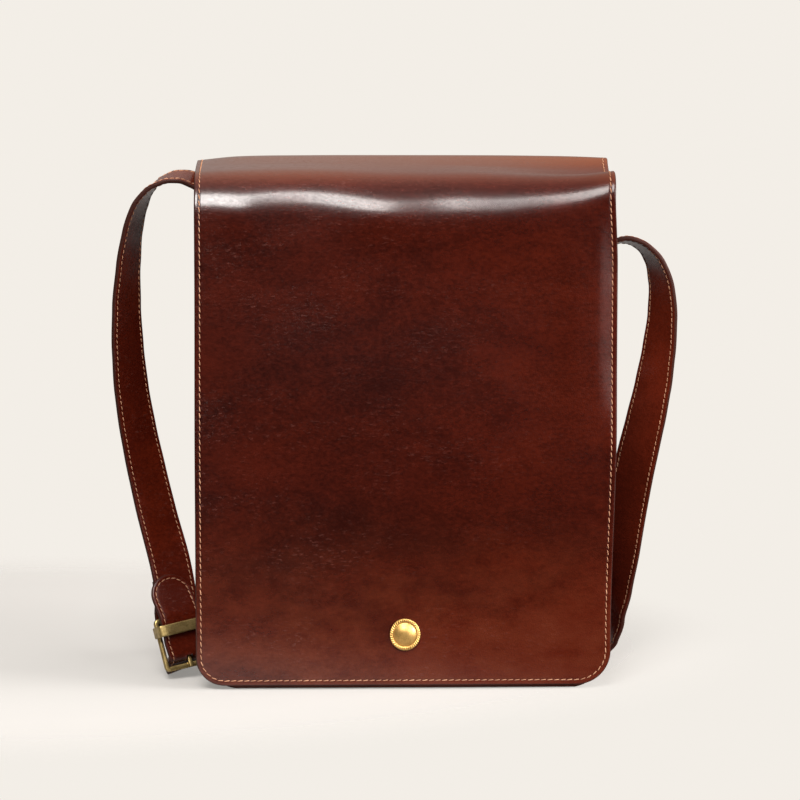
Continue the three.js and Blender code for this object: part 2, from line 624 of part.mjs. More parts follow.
// The prong: an eye on the pivot bar and a straight shank that leans out to the front of the end bar.
function prongGeometry() {
  const eye = new THREE.Shape().absarc(0, 0, PRONG_EYE, 0, Math.PI * 2);
  eye.holes.push(new THREE.Path().absarc(0, 0, PRONG_EYE_HOLE, 0, Math.PI * 2));
  const ring = new THREE.ExtrudeGeometry(eye, { depth: PRONG_WIDTH, bevelEnabled: false, curveSegments: 16 });
  ring.translate(0, 0, -PRONG_WIDTH / 2).rotateY(-Math.PI / 2).rotateX(Math.PI / 2);
  ring.translate(0, PIVOT_ALONG, 0).applyMatrix4(BUCKLE_PLACE);
  const bore = new THREE.CylinderGeometry(PRONG_EYE_HOLE, PRONG_EYE_HOLE, 4 * PRONG_WIDTH, 16);
  bore.rotateZ(Math.PI / 2).translate(0, PIVOT_ALONG, 0).applyMatrix4(BUCKLE_PLACE);
  const reach = FRAME_HALF_HEIGHT + PIVOT_ALONG;
  const bar = new THREE.BoxGeometry(PRONG_WIDTH, reach, PRONG_THICKNESS).translate(0, -reach / 2, 0);
  bar.rotateX(-THREE.MathUtils.degToRad(PRONG_TILT)).translate(0, PIVOT_ALONG, 0).applyMatrix4(BUCKLE_PLACE);
  return geometryOf(solidOf(ring).add(solidOf(bar)).subtract(solidOf(bore)));
}

// The stud in the flap's foot: a domed oval head with a raised rim, a post and a back disc.
function studGeometry() {
  const face = flapFront(0, STUD_HEIGHT);
  const seat = GAP;
  const behind = -FLAP_THICKNESS - GAP;
  const profile = [
    [0, behind - STUD_DISC_THICKNESS],
    [STUD_DISC, behind - STUD_DISC_THICKNESS],
    [STUD_DISC, behind],
    [STUD_POST, behind],
    [STUD_POST, seat],
    [STUD_RADIUS, seat],
    [STUD_RADIUS, seat + 1.2],
    [STUD_RADIUS - 0.8, seat + 2],
    [STUD_RADIUS - 2.2, seat + 1.9],
    [STUD_RADIUS - 2.8, seat + 1.4],
    [STUD_RADIUS - 4.5, seat + 2.6],
    [STUD_RADIUS - 7.5, seat + 3.6],
    [0, seat + 4],
  ];
  const turned = new THREE.LatheGeometry(
    profile.map(([radius, out]) => new THREE.Vector2(radius, out)),
    28,
  );
  turned.scale(STUD_OVAL, 1, 1).rotateX(Math.PI).translate(0, face, STUD_HEIGHT);
  return geometryOf(solidOf(turned));
}

// The flap with the clearance hole of the stud's post.
function boredFlapGeometry() {
  const bore = new THREE.CylinderGeometry(STUD_HOLE, STUD_HOLE, 6 * FLAP_THICKNESS, 20);
  bore.translate(0, flapFront(0, STUD_HEIGHT), STUD_HEIGHT);
  return geometryOf(solidOf(flapGeometry()).subtract(solidOf(bore)));
}

const bag = new THREE.Group();

function addPiece(name, geometry, look) {
  const mesh = new THREE.Mesh(geometry, new THREE.MeshStandardMaterial(look));
  mesh.name = name;
  bag.add(mesh);
}

addPiece("gusset", gussetGeometry(), INNER_LEATHER);
addPiece("front_panel", panelGeometry(FRONT_FACE, FRONT_HEIGHT, -1, FRONT_SWELL), INNER_LEATHER);
addPiece("back_panel", panelGeometry(BACK_FACE, BACK_HEIGHT, 1, BACK_SWELL), LEATHER);
addPiece("flap", boredFlapGeometry(), LEATHER);
addPiece("strap_left", leftStrapGeometry(), LEATHER);
addPiece("strap_right", rightStrapGeometry(), LEATHER);
addPiece("buckle_frame", frameGeometry(), BRASS);
addPiece("buckle_prong", prongGeometry(), BRASS);
addPiece("clasp_stud", studGeometry(), BRIGHT_BRASS);

export default bag;
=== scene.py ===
"""Looks of a tall leather crossbody bag: waxed leather skins, thread, brass, a pale floor and soft light.

Shapes are worked out in millimetres, on the same sizes as the solids, and stored in metres.
X is to the right, Y to the back and Z up, and the bag stands on Z = 0.
"""

import math

import bpy
import numpy as np
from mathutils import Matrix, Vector


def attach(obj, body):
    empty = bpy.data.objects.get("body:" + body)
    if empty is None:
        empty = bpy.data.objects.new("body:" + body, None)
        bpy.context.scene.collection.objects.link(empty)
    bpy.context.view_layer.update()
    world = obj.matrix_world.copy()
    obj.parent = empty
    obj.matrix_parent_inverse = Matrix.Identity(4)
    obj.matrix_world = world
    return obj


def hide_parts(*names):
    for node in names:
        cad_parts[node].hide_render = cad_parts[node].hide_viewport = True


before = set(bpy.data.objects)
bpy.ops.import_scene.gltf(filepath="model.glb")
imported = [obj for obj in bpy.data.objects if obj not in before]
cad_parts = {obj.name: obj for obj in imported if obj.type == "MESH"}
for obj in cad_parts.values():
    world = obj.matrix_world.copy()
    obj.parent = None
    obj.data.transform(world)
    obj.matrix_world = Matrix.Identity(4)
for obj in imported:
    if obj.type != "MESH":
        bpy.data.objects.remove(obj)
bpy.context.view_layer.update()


def table(columns, *rows):
    """Rows of numbers as a dictionary of named columns."""
    return dict(zip(columns.split(), np.array(rows, float).T))


# Sizes of the pocket in millimetres
GAP = 0.3
BODY_HALF = 139.0
BODY_CORNER = 24.0
WALL = 2.2
FRONT_FACE, BACK_FACE = -43.7, 45.7
FRONT_TOP, BACK_TOP, STRIP_TOP = 330.0, 350.0, 326.0
FRONT_SWELL, BACK_SWELL = 3.2, 2.0
SWELL_FOOT, SWELL_HEIGHT = 52.0, 244.0
STRIP_WALL = 2.0
STRIP_FLAT = 19.0
STRIP_MARGIN = 9.0
STRIP_BEND = 2.6
FAR_FROM_CUT = 50.0

# Sizes of the flap
FLAP_HALF = 145.0
FLAP_THICK = 2.8
FRONT_ROOM = 2.0
FLAP_FRONT = FRONT_FACE - FRONT_ROOM - FLAP_THICK
FLAP_BACK = BACK_FACE + GAP + FLAP_THICK
FLAP_LAP, LAP_RUN = 300.0, 58.0
FLAP_FOOT, FOOT_ZONE = 3.0, 34.0
RIDGE_ROUND, SAG_ROUND = 8.0, 45.0
CORNER_LEFT, CORNER_RIGHT = 20.0, 24.0
LEFT_SPREAD, RIGHT_SPREAD, RIGHT_DRAWN_IN = 0.7, 1.9, 1.4
RIGHT_RISE, RIGHT_FALL, LEFT_FALL = (40, 190), (296, 348), (150, 300)
EDGE_CURL, CURL_FROM = 3.6, 130.0
CURL_RISE, CURL_FALL = (170, 240), (300, 346)

# Sizes of the straps and the seams
STRAP_HALF = 15.3
STRAP_THICK = 3.3
STRAP_SPACING = 1.8
LAP_TOP, LAP_FOOT, LAP_GAP = 256.0, 206.0, 0.5
LEFT_SLOT, RIGHT_SLOT = (20.6, 48.2), (57.8, 63.4)
FLAP_SEAM, STRAP_SEAM, WALL_SEAM = 3.6, 3.0, 5.0
SECOND_LAP_SEAM = 12.0
SEWN_END, SEWN_START = 3.5, 48.0
WIDE_PITCH, STRAP_PITCH = 4.6, 4.0

# Sizes of the brass, measured from the middle of the buckle and of the stud
PIVOT_ALONG, BAR_TURN = 17.25, 4.5
FRAME_HALF, FRAME_CORNER = 17.15, 2.0
RAIL_HALF, RAIL_DEEP = 1.6, 1.8
KEEPER_EDGE, KEEPER_TOP, KEEPER_BEND, KEEPER_AT = 19.2, 10.4, 1.6, 9.6
KEEPER_HALF, KEEPER_THIN = 3.9, 0.8
PRONG_RING, PRONG_START, PRONG_END, PRONG_LEAN = 3.75, 3.4, 36.1, 4.9
PRONG_HALF, PRONG_THIN = 1.4, 0.85
STUD_AT = 39.3
STUD_NARROW = 0.955
DOME_RADIUS, DOME_RISE = 8.5, 3.0
RIM_INNER, RIM_MIDDLE, RIM_OUTER = 8.6, 9.9, 11.2
ROPE_TURNS, ROPE_DEPTH = 40, 0.3
DISC_RADIUS, DISC_THICK, POST_RADIUS = 8.0, 1.2, 3.0

SIDE_FOLD = table(
    "z fold",
    (0, 0), (24, 5.6), (60, 7), (120, 10), (180, 14.5), (240, 20), (280, 23.5), (326, 26),
)
FLAP_OVER = table(
    "across back sag_y sag front round",
    (-1, 363.9, 0, 361.8, 358, 29),
    (-0.8, 366.9, 2, 363, 359.5, 30),
    (-0.45, 367.6, 4, 363.6, 359.5, 31),
    (-0.1, 367.7, 6, 362.8, 356.5, 32),
    (0.12, 367.7, 6, 362.2, 355.5, 32),
    (0.3, 367.7, 8, 361.5, 357, 31),
    (0.5, 367.7, 8, 360, 357, 29),
    (0.8, 367.6, 10, 355.5, 360, 23),
    (1, 367.2, 13, 351, 366, 17),
)
FLAP_DENTS = table(
    "x z wide tall out",
    (-112, 331, 16, 15, 1.5),
    (-68, 333, 24, 15, -1),
    (-10, 331, 28, 17, 2.6),
    (62, 328, 46, 18, 1.5),
    (-70, 210, 60, 46, 1.2),
    (62, 176, 56, 60, 1.4),
    (-30, 116, 80, 36, 0.9),
    (118, 256, 14, 60, 1.1),
)
LEFT_ROUTE = table(
    "x y z swing lift",
    (-119, 1, 272, 90, 1),
    (-119.3, 0.8, 289, 90, 3),
    (-120.8, 0.6, 306, 90, 6),
    (-124, 0.4, 321, 90, 11),
    (-129.2, 0.2, 334, 90, 15),
    (-136.8, 0, 345.2, 90, 16),
    (-146.6, 0, 352.6, 90, 14),
    (-157.2, 0, 355, 90, 8),
    (-168.2, 0, 352.4, 87, 3),
    (-177.8, 0.2, 345, 79, 0),
    (-184.6, 0.4, 333.4, 72, 0),
    (-189.3, 0.8, 316.4, 68, 0),
    (-192.4, 1.4, 293, 62, 0),
    (-194, 2.6, 264, 55, 0),
    (-193.5, 4.6, 234, 49, 0),
    (-191.2, 7.4, 204, 43.5, 0),
    (-186.8, 10.4, 174, 38.5, 1),
    (-181, 12.4, 144.5, 33, 2),
    (-174.3, 11.6, 115, 29, 4),
)
LEFT_TO_BAR = table(
    "across along out",
    (3.7, 59, 1.9),
    (3.2, 46, 1.9),
    (2.4, 36, 2),
    (1.3, 27.2, 3),
    (0.2, 21.6, 4.15),
)
LEFT_BEHIND_BAR = table(
    "across along out",
    (0.2, 21.6, -4.15),
    (1.6, 27.2, -2.8),
    (2.8, 35, -1.75),
    (3.8, 44, -1.75),
)
RIGHT_TO_BAR = table(
    "across along out",
    (-3.6, 48, 5.6),
    (-3.2, 39, 6),
    (-2.4, 30, 7.2),
    (-1.8, 23.5, 8.2),
    (-1.5, 17.5, 8.45),
    (-1.4, 13.4, 7.45),
    (-1.3, 10, 7.25),
    (-1.2, 6, 6.7),
    (-1.1, 2, 5.2),
    (-0.6, -5.5, 4.9),
    (-0.3, -8.8, 4.7),
    (-0.1, -11, 3.1),
    (0, -12.3, 0.6),
    (0, -13, -2.4),
    (0, -14.6, -5.4),
)
RIGHT_ROUTE = table(
    "x y z swing lift",
    (-153.6, 3, 7, 25, 8),
    (-155, 11, 7.6, 23, 15),
    (-157, 24, 10, 20, 29),
    (-159.6, 42, 14.2, 20, 55),
    (-156.8, 62, 16.3, 30, 80),
    (-143, 80, 16.2, 60, 90),
    (-118, 91, 16.2, 80, 90),
    (-80, 94.5, 16.2, 90, 90),
    (-36, 92.5, 16.2, 90, 90),
    (8, 87, 16.2, 90, 90),
    (48, 80, 16.1, 90, 80),
    (80, 74, 14, 90, 55),
    (105, 70, 9.4, 90, 27),
    (124, 67.5, 4.8, 90, 9),
    (136, 66.5, 2.7, 90, 2),
    (144.3, 66, 4.2, 90, 0),
    (149.2, 65, 9.6, 95, 0),
    (150.5, 62.3, 19, 107, 0),
    (150.6, 55.2, 35, 125, 0),
    (152.9, 47, 57, 141, 0),
    (156.6, 38, 88, 153, 0),
    (160.8, 30, 121, 157, 0),
    (166, 23.4, 151, 152.5, 0),
    (172, 18, 180, 146.5, 0),
    (176.8, 14.5, 205, 139.5, 0),
    (180.3, 10.5, 230, 132, 0),
    (182.3, 6.6, 256, 124.5, 0),
    (181.1, 3, 278, 118, 0),
    (176, 0.8, 295, 110, -3),
    (167.3, 0.2, 305.6, 99, -9),
    (157, 0, 310, 91, -10.5),
    (146.6, 0, 308.6, 90, -8),
    (136.8, 0.1, 303.4, 90, -6),
    (128.2, 0.3, 295, 90, -4),
    (122, 0.6, 284, 90, -3),
    (119.4, 0.9, 270, 90, 0),
)

# Distances from a cut edge where the grids of the leather have lines
FINE = np.array([0, 0.12, 0.3, 0.55, 0.9, 1.35, 1.9, 2.4, 2.8, 3.2, 3.6, 4.0, 4.5, 5.2, 6.4, 8.5])


def ease(start, end, value):
    """Smooth step: 3t^2 - 2t^3 of the clamped share of the way from start to end."""
    t = np.clip((value - start) / (end - start), 0, 1)
    return t * t * (3 - 2 * t)


def unit(vectors):
    """Vectors over their lengths."""
    return vectors / np.linalg.norm(vectors, axis=-1, keepdims=True)


def smooth_at(columns, key, name, place):
    """Cubic Hermite value of a column: the slope at a row is the rise between its two neighbours."""
    k, v = columns[key], columns[name]
    before = np.maximum(np.arange(k.size) - 1, 0)
    after = np.minimum(np.arange(k.size) + 1, k.size - 1)
    slope = (v[after] - v[before]) / (k[after] - k[before])
    i = np.clip(np.searchsorted(k, place) - 1, 0, k.size - 2)
    span = k[i + 1] - k[i]
    t = np.clip((place - k[i]) / span, 0, 1)
    rise = 3 * t**2 - 2 * t**3
    bends = (t - 2 * t**2 + t**3) * slope[i] + (t**3 - t**2) * slope[i + 1]
    return v[i] * (1 - rise) + v[i + 1] * rise + span * bends


def grid_quads(number, around=False):
    """Quads between neighbours in a grid of point numbers, closed round the columns if asked."""
    if around:
        number = np.concatenate([number, number[..., :1]], axis=-1)
    a, b = number[..., :-1, :-1], number[..., 1:, :-1]
    c, d = number[..., 1:, 1:], number[..., :-1, 1:]
    return np.stack([a, b, c, d], -1).reshape(-1, 4)


def facing_out(points, quads):
    """The quads wound so that their volume, a sum of a . (b x c) over their triangles, is positive."""
    a, b, c, d = (points[quads[:, i]] for i in range(4))
    volume = (a * (np.cross(b, c) + np.cross(c, d))).sum()
    return quads if volume > 0 else quads[:, ::-1]


def tube(rings, values=(), closed=False):
    """Rows of closed rings as (points, quads, values). A closed row joins its last ring to its first."""
    number = np.arange(rings[..., 0].size).reshape(rings.shape[:-1])
    if closed:
        number = np.concatenate([number, number[:1]])
    points = rings.reshape(-1, 3)
    return points, facing_out(points, grid_quads(number, around=True)), np.array(values)


def add_piece(name, points, quads, material, **marks):
    """A smooth mesh object of the points, in metres, with the marks that its finish reads.

    Equal points become one, a quad with two equal corners becomes a triangle, and of faces on the same
    corners only the first stays.
    """
    _, first, same = np.unique(np.round(points, 4), axis=0, return_index=True, return_inverse=True)
    quads = same.reshape(-1)[quads]
    key = np.sort(quads, axis=1)
    key[:, 1:][key[:, 1:] == key[:, :-1]] = -1
    once = np.unique(np.sort(key, axis=1), axis=0, return_index=True)[1]
    quads = quads[np.sort(once)]
    keep = quads != np.roll(quads, -1, axis=1)
    sides = keep.sum(1)
    keep &= (sides > 2)[:, None]
    sides = sides[sides > 2]
    corners = quads[keep]
    mesh = bpy.data.meshes.new(name)
    mesh.vertices.add(first.size)
    mesh.vertices.foreach_set("co", (points[first] * 0.001).astype(np.float32).ravel())
    mesh.loops.add(corners.size)
    mesh.loops.foreach_set("vertex_index", corners.astype(np.int32))
    mesh.polygons.add(sides.size)
    mesh.polygons.foreach_set("loop_start", (np.cumsum(sides) - sides).astype(np.int32))
    mesh.update(calc_edges=True)
    mesh.validate()
    mesh.shade_smooth()
    for mark, values in marks.items():
        if values.size:
            layer = mesh.attributes.new(mark, "FLOAT", "POINT")
            layer.data.foreach_set("value", values[first].astype(np.float32))
    mesh.materials.append(material)
    made = bpy.data.objects.new(name, mesh)
    bpy.context.scene.collection.objects.link(made)
    return made


def leather_shell(face, out, inset, thickness, rounding, pressed, slot=None):
    """Two faces of leather a thickness apart that meet in a rounded cut edge.

    Within `rounding` of the outline each face falls to the middle of the sheet along a quarter of an ellipse:
    thickness / 2 * (1 - sqrt(1 - (1 - inset / rounding)^2)). `pressed` sinks the outer face. A slot is the
    first and last row and column of a patch that is left open and walled.
    """
    fall = thickness / 2 * (1 - np.sqrt(1 - np.clip(1 - inset / rounding, 0, 1) ** 2))
    top = face - out * (fall + pressed)[..., None]
    under = face - out * (thickness - fall)[..., None]
    under[[0, -1]] = top[[0, -1]]
    under[:, [0, -1]] = top[:, [0, -1]]
    rows, columns = inset.shape
    number = np.arange(rows * columns).reshape(rows, columns)
    kept = np.ones((rows - 1, columns - 1), bool)
    walls = np.zeros((0, 4), int)
    if slot is not None:
        r0, r1, c0, c1 = slot
        kept[r0:r1, c0:c1] = False
        ring = np.concatenate([
            number[r0:r1, c0], number[r1, c0:c1], number[r1:r0:-1, c1], number[r0, c1:c0:-1],
        ])
        ahead = np.roll(ring, -1)
        walls = np.stack([ahead, ring, ring + rows * columns, ahead + rows * columns], -1)
    upper = grid_quads(number)[kept.reshape(-1)]
    lower = grid_quads(number + rows * columns)[kept.reshape(-1)][:, ::-1]
    points = np.concatenate([top.reshape(-1, 3), under.reshape(-1, 3)])
    quads = facing_out(points, np.concatenate([upper, lower, walls]))
    return points, quads, np.concatenate([inset.reshape(-1)] * 2)


def outward(face, towards):
    """Unit normals of a grid from its differences along rows and columns, on the side of `towards`."""
    normal = unit(np.cross(np.gradient(face, axis=1), np.gradient(face, axis=0)))
    middle = normal[face.shape[0] // 2, face.shape[1] // 2]
    return normal if middle @ towards > 0 else -normal


def mirrored_lines(total, spacing):
    """Grid lines from 0 to total: the fine distances at both edges and an even spacing between them."""
    inner = np.linspace(FINE[-1], total - FINE[-1], max(int((total - 2 * FINE[-1]) / spacing), 2) + 1)
    return np.concatenate([FINE[:-1], inner, total - FINE[:-1][::-1]])


def round_corner(inset, side, low, radius):
    """Distances from the outline, which in a round corner are radius - hypot(radius - side, radius - low)."""
    inside = (side < radius) & (low < radius)
    return np.where(inside, radius - np.hypot(radius - side, radius - low), inset)


def zero_at_outline(inset):
    """Distances from the outline, none below zero, and zero on the outer rows and columns."""
    inset = np.maximum(inset, 0)
    inset[[0, -1]] = 0
    inset[:, [0, -1]] = 0
    return inset


def seam_groove(inset, seam, depth=0.3, width=0.6):
    """Depth of the leather drawn in by a seam: a bell curve over the distance from the cut edge."""
    return depth * np.exp(-(((inset - seam) / width) ** 2))


def stitches(path, out, pitch, cover=0.86, width=0.68, height=0.42, slant=9.0):
    """Thread along a seam: bars at an even pitch, each turned by the slant about the outward direction.

    A bar's half width over its length u from -1 to 1 is (1 - u^4)^(1/2), and its ends dip into the leather
    by u^4.
    """
    gone = np.concatenate([[0], np.cumsum(np.linalg.norm(np.diff(path, axis=0), axis=1))])
    count = max(int(gone[-1] / pitch), 1)
    middle = (np.arange(count) + 0.5) * gone[-1] / count

    def along(values, place):
        return np.stack([np.interp(place, gone, values[:, k]) for k in range(3)], -1)

    place = along(path, middle)
    ahead = unit(along(path, middle + 0.3 * pitch) - along(path, middle - 0.3 * pitch))
    up = along(out, middle)
    up = unit(up - ahead * (up * ahead).sum(-1, keepdims=True))
    side = np.cross(up, ahead)
    c, s = math.cos(math.radians(slant)), math.sin(math.radians(slant))
    ahead, side = ahead * c + side * s, side * c - ahead * s
    u = np.array([-1, -0.93, -0.72, -0.3, 0.3, 0.72, 0.93, 1])[:, None]
    angle = np.linspace(0, 2 * np.pi, 8, endpoint=False)[None]
    swell = np.sqrt(np.maximum(1 - u**4, 0))
    bar = np.stack([
        u * cover * gone[-1] / count / 2 + 0 * angle,
        swell * np.cos(angle) * width / 2,
        swell * np.sin(angle) * height - 0.35 * u**4 + 0.12,
    ], -1)
    rings = (
        place[:, None, None]
        + bar[None, ..., 0:1] * ahead[:, None, None]
        + bar[None, ..., 1:2] * side[:, None, None]
        + bar[None, ..., 2:3] * up[:, None, None]
    )
    tone = np.repeat(np.modf(np.sin(np.arange(count) * 12.9898) * 437.58)[0] % 1, u.size * angle.size)
    return tube(rings, tone)


def joined(parts):
    """Several (points, quads, values) as one, with the quads numbered on."""
    shift = np.cumsum([0] + [len(p[0]) for p in parts[:-1]])
    points = np.concatenate([p[0] for p in parts])
    quads = np.concatenate([p[1] + s for p, s in zip(parts, shift)])
    return points, quads, np.concatenate([p[2] for p in parts])


# The flap

def swell(x, z):
    """Share of a wall's outward swell: cosine across it times the squared sine of its height."""
    sideways = np.cos(np.pi / 2 * np.minimum(np.abs(x) / BODY_HALF, 1))
    return sideways * np.sin(np.pi * np.clip((z - SWELL_FOOT) / SWELL_HEIGHT, 0, 1)) ** 2


def flap_front(x, z):
    """Y of the flap's front: its plane less the swell and a sum of bell-shaped dents.

    The right edge curls back by the square of a smooth step, over a middle stretch of its height.
    """
    d = {k: v.reshape((-1,) + (1,) * np.ndim(x)) for k, v in FLAP_DENTS.items()}
    dents = (d["out"] * np.exp(-(((x - d["x"]) / d["wide"]) ** 2) - ((z - d["z"]) / d["tall"]) ** 2)).sum(0)
    curl = ease(CURL_FROM, FLAP_HALF, x) ** 2 * ease(*CURL_RISE, z) * (1 - ease(*CURL_FALL, z))
    return FLAP_FRONT - FRONT_SWELL * swell(x, z) - dents + EDGE_CURL * curl


def bend(before, corner, after, radius, shares):
    """Arc that rounds a corner of a run: its ends lie radius / tan(half the angle) from the corner."""
    a, b = unit(before - corner), unit(after - corner)
    half = np.arccos(np.clip((a * b).sum(-1), -1, 1)) / 2
    centre = corner + unit(a + b) * (radius / np.sin(half))[..., None]
    reach = (radius / np.tan(half))[..., None]
    start, end = corner + a * reach - centre, corner + b * reach - centre
    sweep = np.arctan2(start[..., 0] * end[..., 1] - start[..., 1] * end[..., 0], (start * end).sum(-1))
    turn = shares[:, None] * sweep
    c, s = np.cos(turn), np.sin(turn)
    y = c * start[:, 0] - s * start[:, 1]
    z = s * start[:, 0] + c * start[:, 1]
    return centre + np.stack([y, z], -1)


def flap_grid():
    """The flap's outer face: rows from its lap at the back over the top and down the front, columns across.

    Over the top each column is straights joined by arcs, eased by repeated averaging of neighbouring rows.
    Down the front it is flap_front, between a left and a right edge with round lower corners.
    """
    share = mirrored_lines(2 * FLAP_HALF, 2.7) / (2 * FLAP_HALF)
    across = 2 * share - 1
    at = {k: smooth_at(FLAP_OVER, "across", k, across) for k in FLAP_OVER}
    fixed = np.ones_like(across)
    fall = np.arctan2(at["back"] - at["sag"], FLAP_BACK - at["sag_y"])
    ridge = at["back"] + RIDGE_ROUND * (1 / np.tan(np.pi / 4 - fall / 2) - 1)
    corners = [
        np.stack([FLAP_BACK * fixed, FLAP_LAP * fixed], -1),
        np.stack([FLAP_BACK * fixed, ridge], -1),
        np.stack([at["sag_y"], at["sag"]], -1),
        np.stack([FLAP_FRONT * fixed, at["front"]], -1),
        np.stack([FLAP_FRONT * fixed, FLAP_FOOT * fixed], -1),
    ]
    arcs = [
        bend(*corners[k:k + 3], radius * fixed, np.linspace(0, 1, steps))
        for k, (radius, steps) in enumerate([(RIDGE_ROUND, 7), (SAG_ROUND, 7), (at["round"], 26)])
    ]

    def straight(start, end, shares):
        return start + shares[:, None, None] * (end - start)

    lap = np.concatenate([FINE[:-1] / LAP_RUN, np.linspace(FINE[-1] / LAP_RUN, 0.97, 22)])
    run = np.concatenate([
        straight(corners[0], arcs[0][0], lap),
        arcs[0],
        straight(arcs[0][-1], arcs[1][0], np.linspace(0, 1, 14)[1:-1]),
        arcs[1],
        straight(arcs[1][-1], arcs[2][0], np.linspace(0, 1, 12)[1:-1]),
        arcs[2],
    ])
    x_over = np.broadcast_to(across * FLAP_HALF, run.shape[:2])
    lean = ease(10, -FLAP_FRONT, -run[..., 0])
    run[..., 0] += (flap_front(x_over, run[..., 1]) - FLAP_FRONT) * lean
    foot_lines = np.concatenate([np.linspace(FOOT_ZONE, FINE[-1], 11)[1:], FINE[:-1][::-1]])
    z = np.concatenate([
        run[-1, :, 1] + np.linspace(0, 1, 125)[1:, None] * (FLAP_FOOT + FOOT_ZONE - run[-1, :, 1]),
        np.broadcast_to((FLAP_FOOT + foot_lines)[:, None], (foot_lines.size, share.size)),
    ])
    left_in, right_in = (
        radius - np.sqrt(radius**2 - np.maximum(FLAP_FOOT + radius - z, 0) ** 2)
        for radius in (CORNER_LEFT, CORNER_RIGHT)
    )
    spread = (RIGHT_SPREAD + RIGHT_DRAWN_IN) * ease(*RIGHT_RISE, z) - RIGHT_DRAWN_IN
    spread = spread * (1 - ease(*RIGHT_FALL, z))
    left_spread = LEFT_SPREAD * (1 - ease(*LEFT_FALL, z))
    x = (left_in - FLAP_HALF - left_spread) * (1 - share) + (FLAP_HALF + spread - right_in) * share
    face = np.concatenate([
        np.concatenate([x_over[..., None], run], -1),
        np.stack([x, flap_front(x, z), z], -1),
    ])
    last = run.shape[0]
    calm = slice(FINE.size + 2, last + 24)
    for _ in range(10):
        blended = face.copy()
        blended[1:-1] = (face[:-2] + 2 * face[1:-1] + face[2:]) / 4
        face[calm, :, 1:] = blended[calm, :, 1:]
    right_all, left_all = (np.concatenate([np.zeros_like(x_over), s]) for s in (spread, left_spread))
    gone = np.cumsum(np.linalg.norm(np.diff(face, axis=0, prepend=face[:1]), axis=-1), axis=0)
    to_foot = face[..., 2] - FLAP_FOOT
    to_foot[:last] = FAR_FROM_CUT
    from_left = face[..., 0] + FLAP_HALF + left_all
    from_right = FLAP_HALF + right_all - face[..., 0]
    inset = np.minimum(np.minimum(from_left, from_right), np.minimum(to_foot, gone))
    for side, radius in ((from_left, CORNER_LEFT), (from_right, CORNER_RIGHT)):
        inset = round_corner(inset, side, to_foot, radius)
    return face, outward(face, np.array([0, -1, 0])), zero_at_outline(inset), gone


def front_path(x, z):
    """Points on the flap's front and their outward directions, from the slopes of flap_front."""
    step = 0.5
    slope_x = (flap_front(x + step, z) - flap_front(x - step, z)) / (2 * step)
    slope_z = (flap_front(x, z + step) - flap_front(x, z - step)) / (2 * step)
    path = np.stack([x, flap_front(x, z), z], -1)
    return path, unit(np.stack([slope_x, -np.ones_like(x), slope_z], -1))


def flap_seams(face, out, gone):
    """Seam lines of the flap: down one side, round the foot and up the other side, and two across the lap."""
    columns = face.shape[1]
    near = int(np.argmin(np.abs(FINE - FLAP_SEAM)))
    front_rows = np.arange(face.shape[0]) > np.argmax(face[:, columns // 2, 2])
    high = ~front_rows | (face[:, columns // 2, 2] > FLAP_FOOT + CORNER_RIGHT + 2)
    low = FLAP_FOOT + FLAP_SEAM
    turn = np.linspace(0, np.pi / 2, 12)
    rl, rr = CORNER_LEFT - FLAP_SEAM, CORNER_RIGHT - FLAP_SEAM
    left_x = CORNER_LEFT - FLAP_HALF - LEFT_SPREAD
    right_x = FLAP_HALF - RIGHT_DRAWN_IN - CORNER_RIGHT
    x = np.concatenate([
        left_x - rl * np.cos(turn),
        np.linspace(left_x, right_x, 90)[1:-1],
        right_x + rr * np.sin(turn),
    ])
    z = np.concatenate([
        FLAP_FOOT + CORNER_LEFT - rl * np.sin(turn),
        np.full(88, low),
        FLAP_FOOT + CORNER_RIGHT - rr * np.cos(turn),
    ])
    foot, foot_out = front_path(x, z)
    begin = gone[:, near] > FLAP_SEAM
    left, right = high & begin, (high & begin)[::-1]
    path = np.concatenate([face[left, near], foot, face[::-1, -1 - near][right]])
    outs = np.concatenate([out[left, near], foot_out, out[::-1, -1 - near][right]])
    across = slice(near, columns - near)
    rows = [int(np.argmin(np.abs(gone[:, columns // 2] - s))) for s in (FLAP_SEAM, SECOND_LAP_SEAM)]
    return [(path, outs)] + [(face[r, across], out[r, across]) for r in rows]


# The straps

def direction(swing, lift):
    """Unit vectors from a compass angle from +X towards +Y and a rise above the level, in degrees."""
    s, rise = np.radians(swing), np.radians(lift)
    return np.stack([np.cos(rise) * np.cos(s), np.cos(rise) * np.sin(s), np.sin(rise)], -1)


BUCKLE_AT = np.array([-155.5, -4.0, 26.4])
ACROSS = direction(25.0, 8.0)
LEAN = np.array([-0.25, 0.206, 0.946])
ALONG = unit(LEAN - ACROSS * (LEAN @ ACROSS))
OUT = np.cross(ACROSS, ALONG)


def on_buckle(across, along, out):
    """Points from their distances across, along and out of the buckle."""
    parts = np.broadcast_arrays(across, along, out)
    return BUCKLE_AT + parts[0][..., None] * ACROSS + parts[1][..., None] * ALONG + parts[2][..., None] * OUT


def buckle_rows(rows):
    """Points of a strap at the buckle and the directions of its width."""
    at = on_buckle(rows["across"], rows["along"], rows["out"])
    return at, np.broadcast_to(ACROSS, at.shape)


def route_rows(rows):
    """Points of a strap's free route and the directions of its width."""
    return np.stack([rows["x"], rows["y"], rows["z"]], -1), direction(rows["swing"], rows["lift"])


def lap_rows(side):
    """Points of the sewn lap on the folded side, from its top to its foot."""
    z = np.linspace(LAP_TOP, LAP_FOOT, 4)
    x = side * (BODY_HALF - smooth_at(SIDE_FOLD, "z", "fold", z) + LAP_GAP + STRAP_THICK / 2)
    at = np.stack([x, np.full(4, (FRONT_FACE + BACK_FACE) / 2), z], -1)
    return at, np.broadcast_to([0.0, 1.0, 0.0], at.shape)


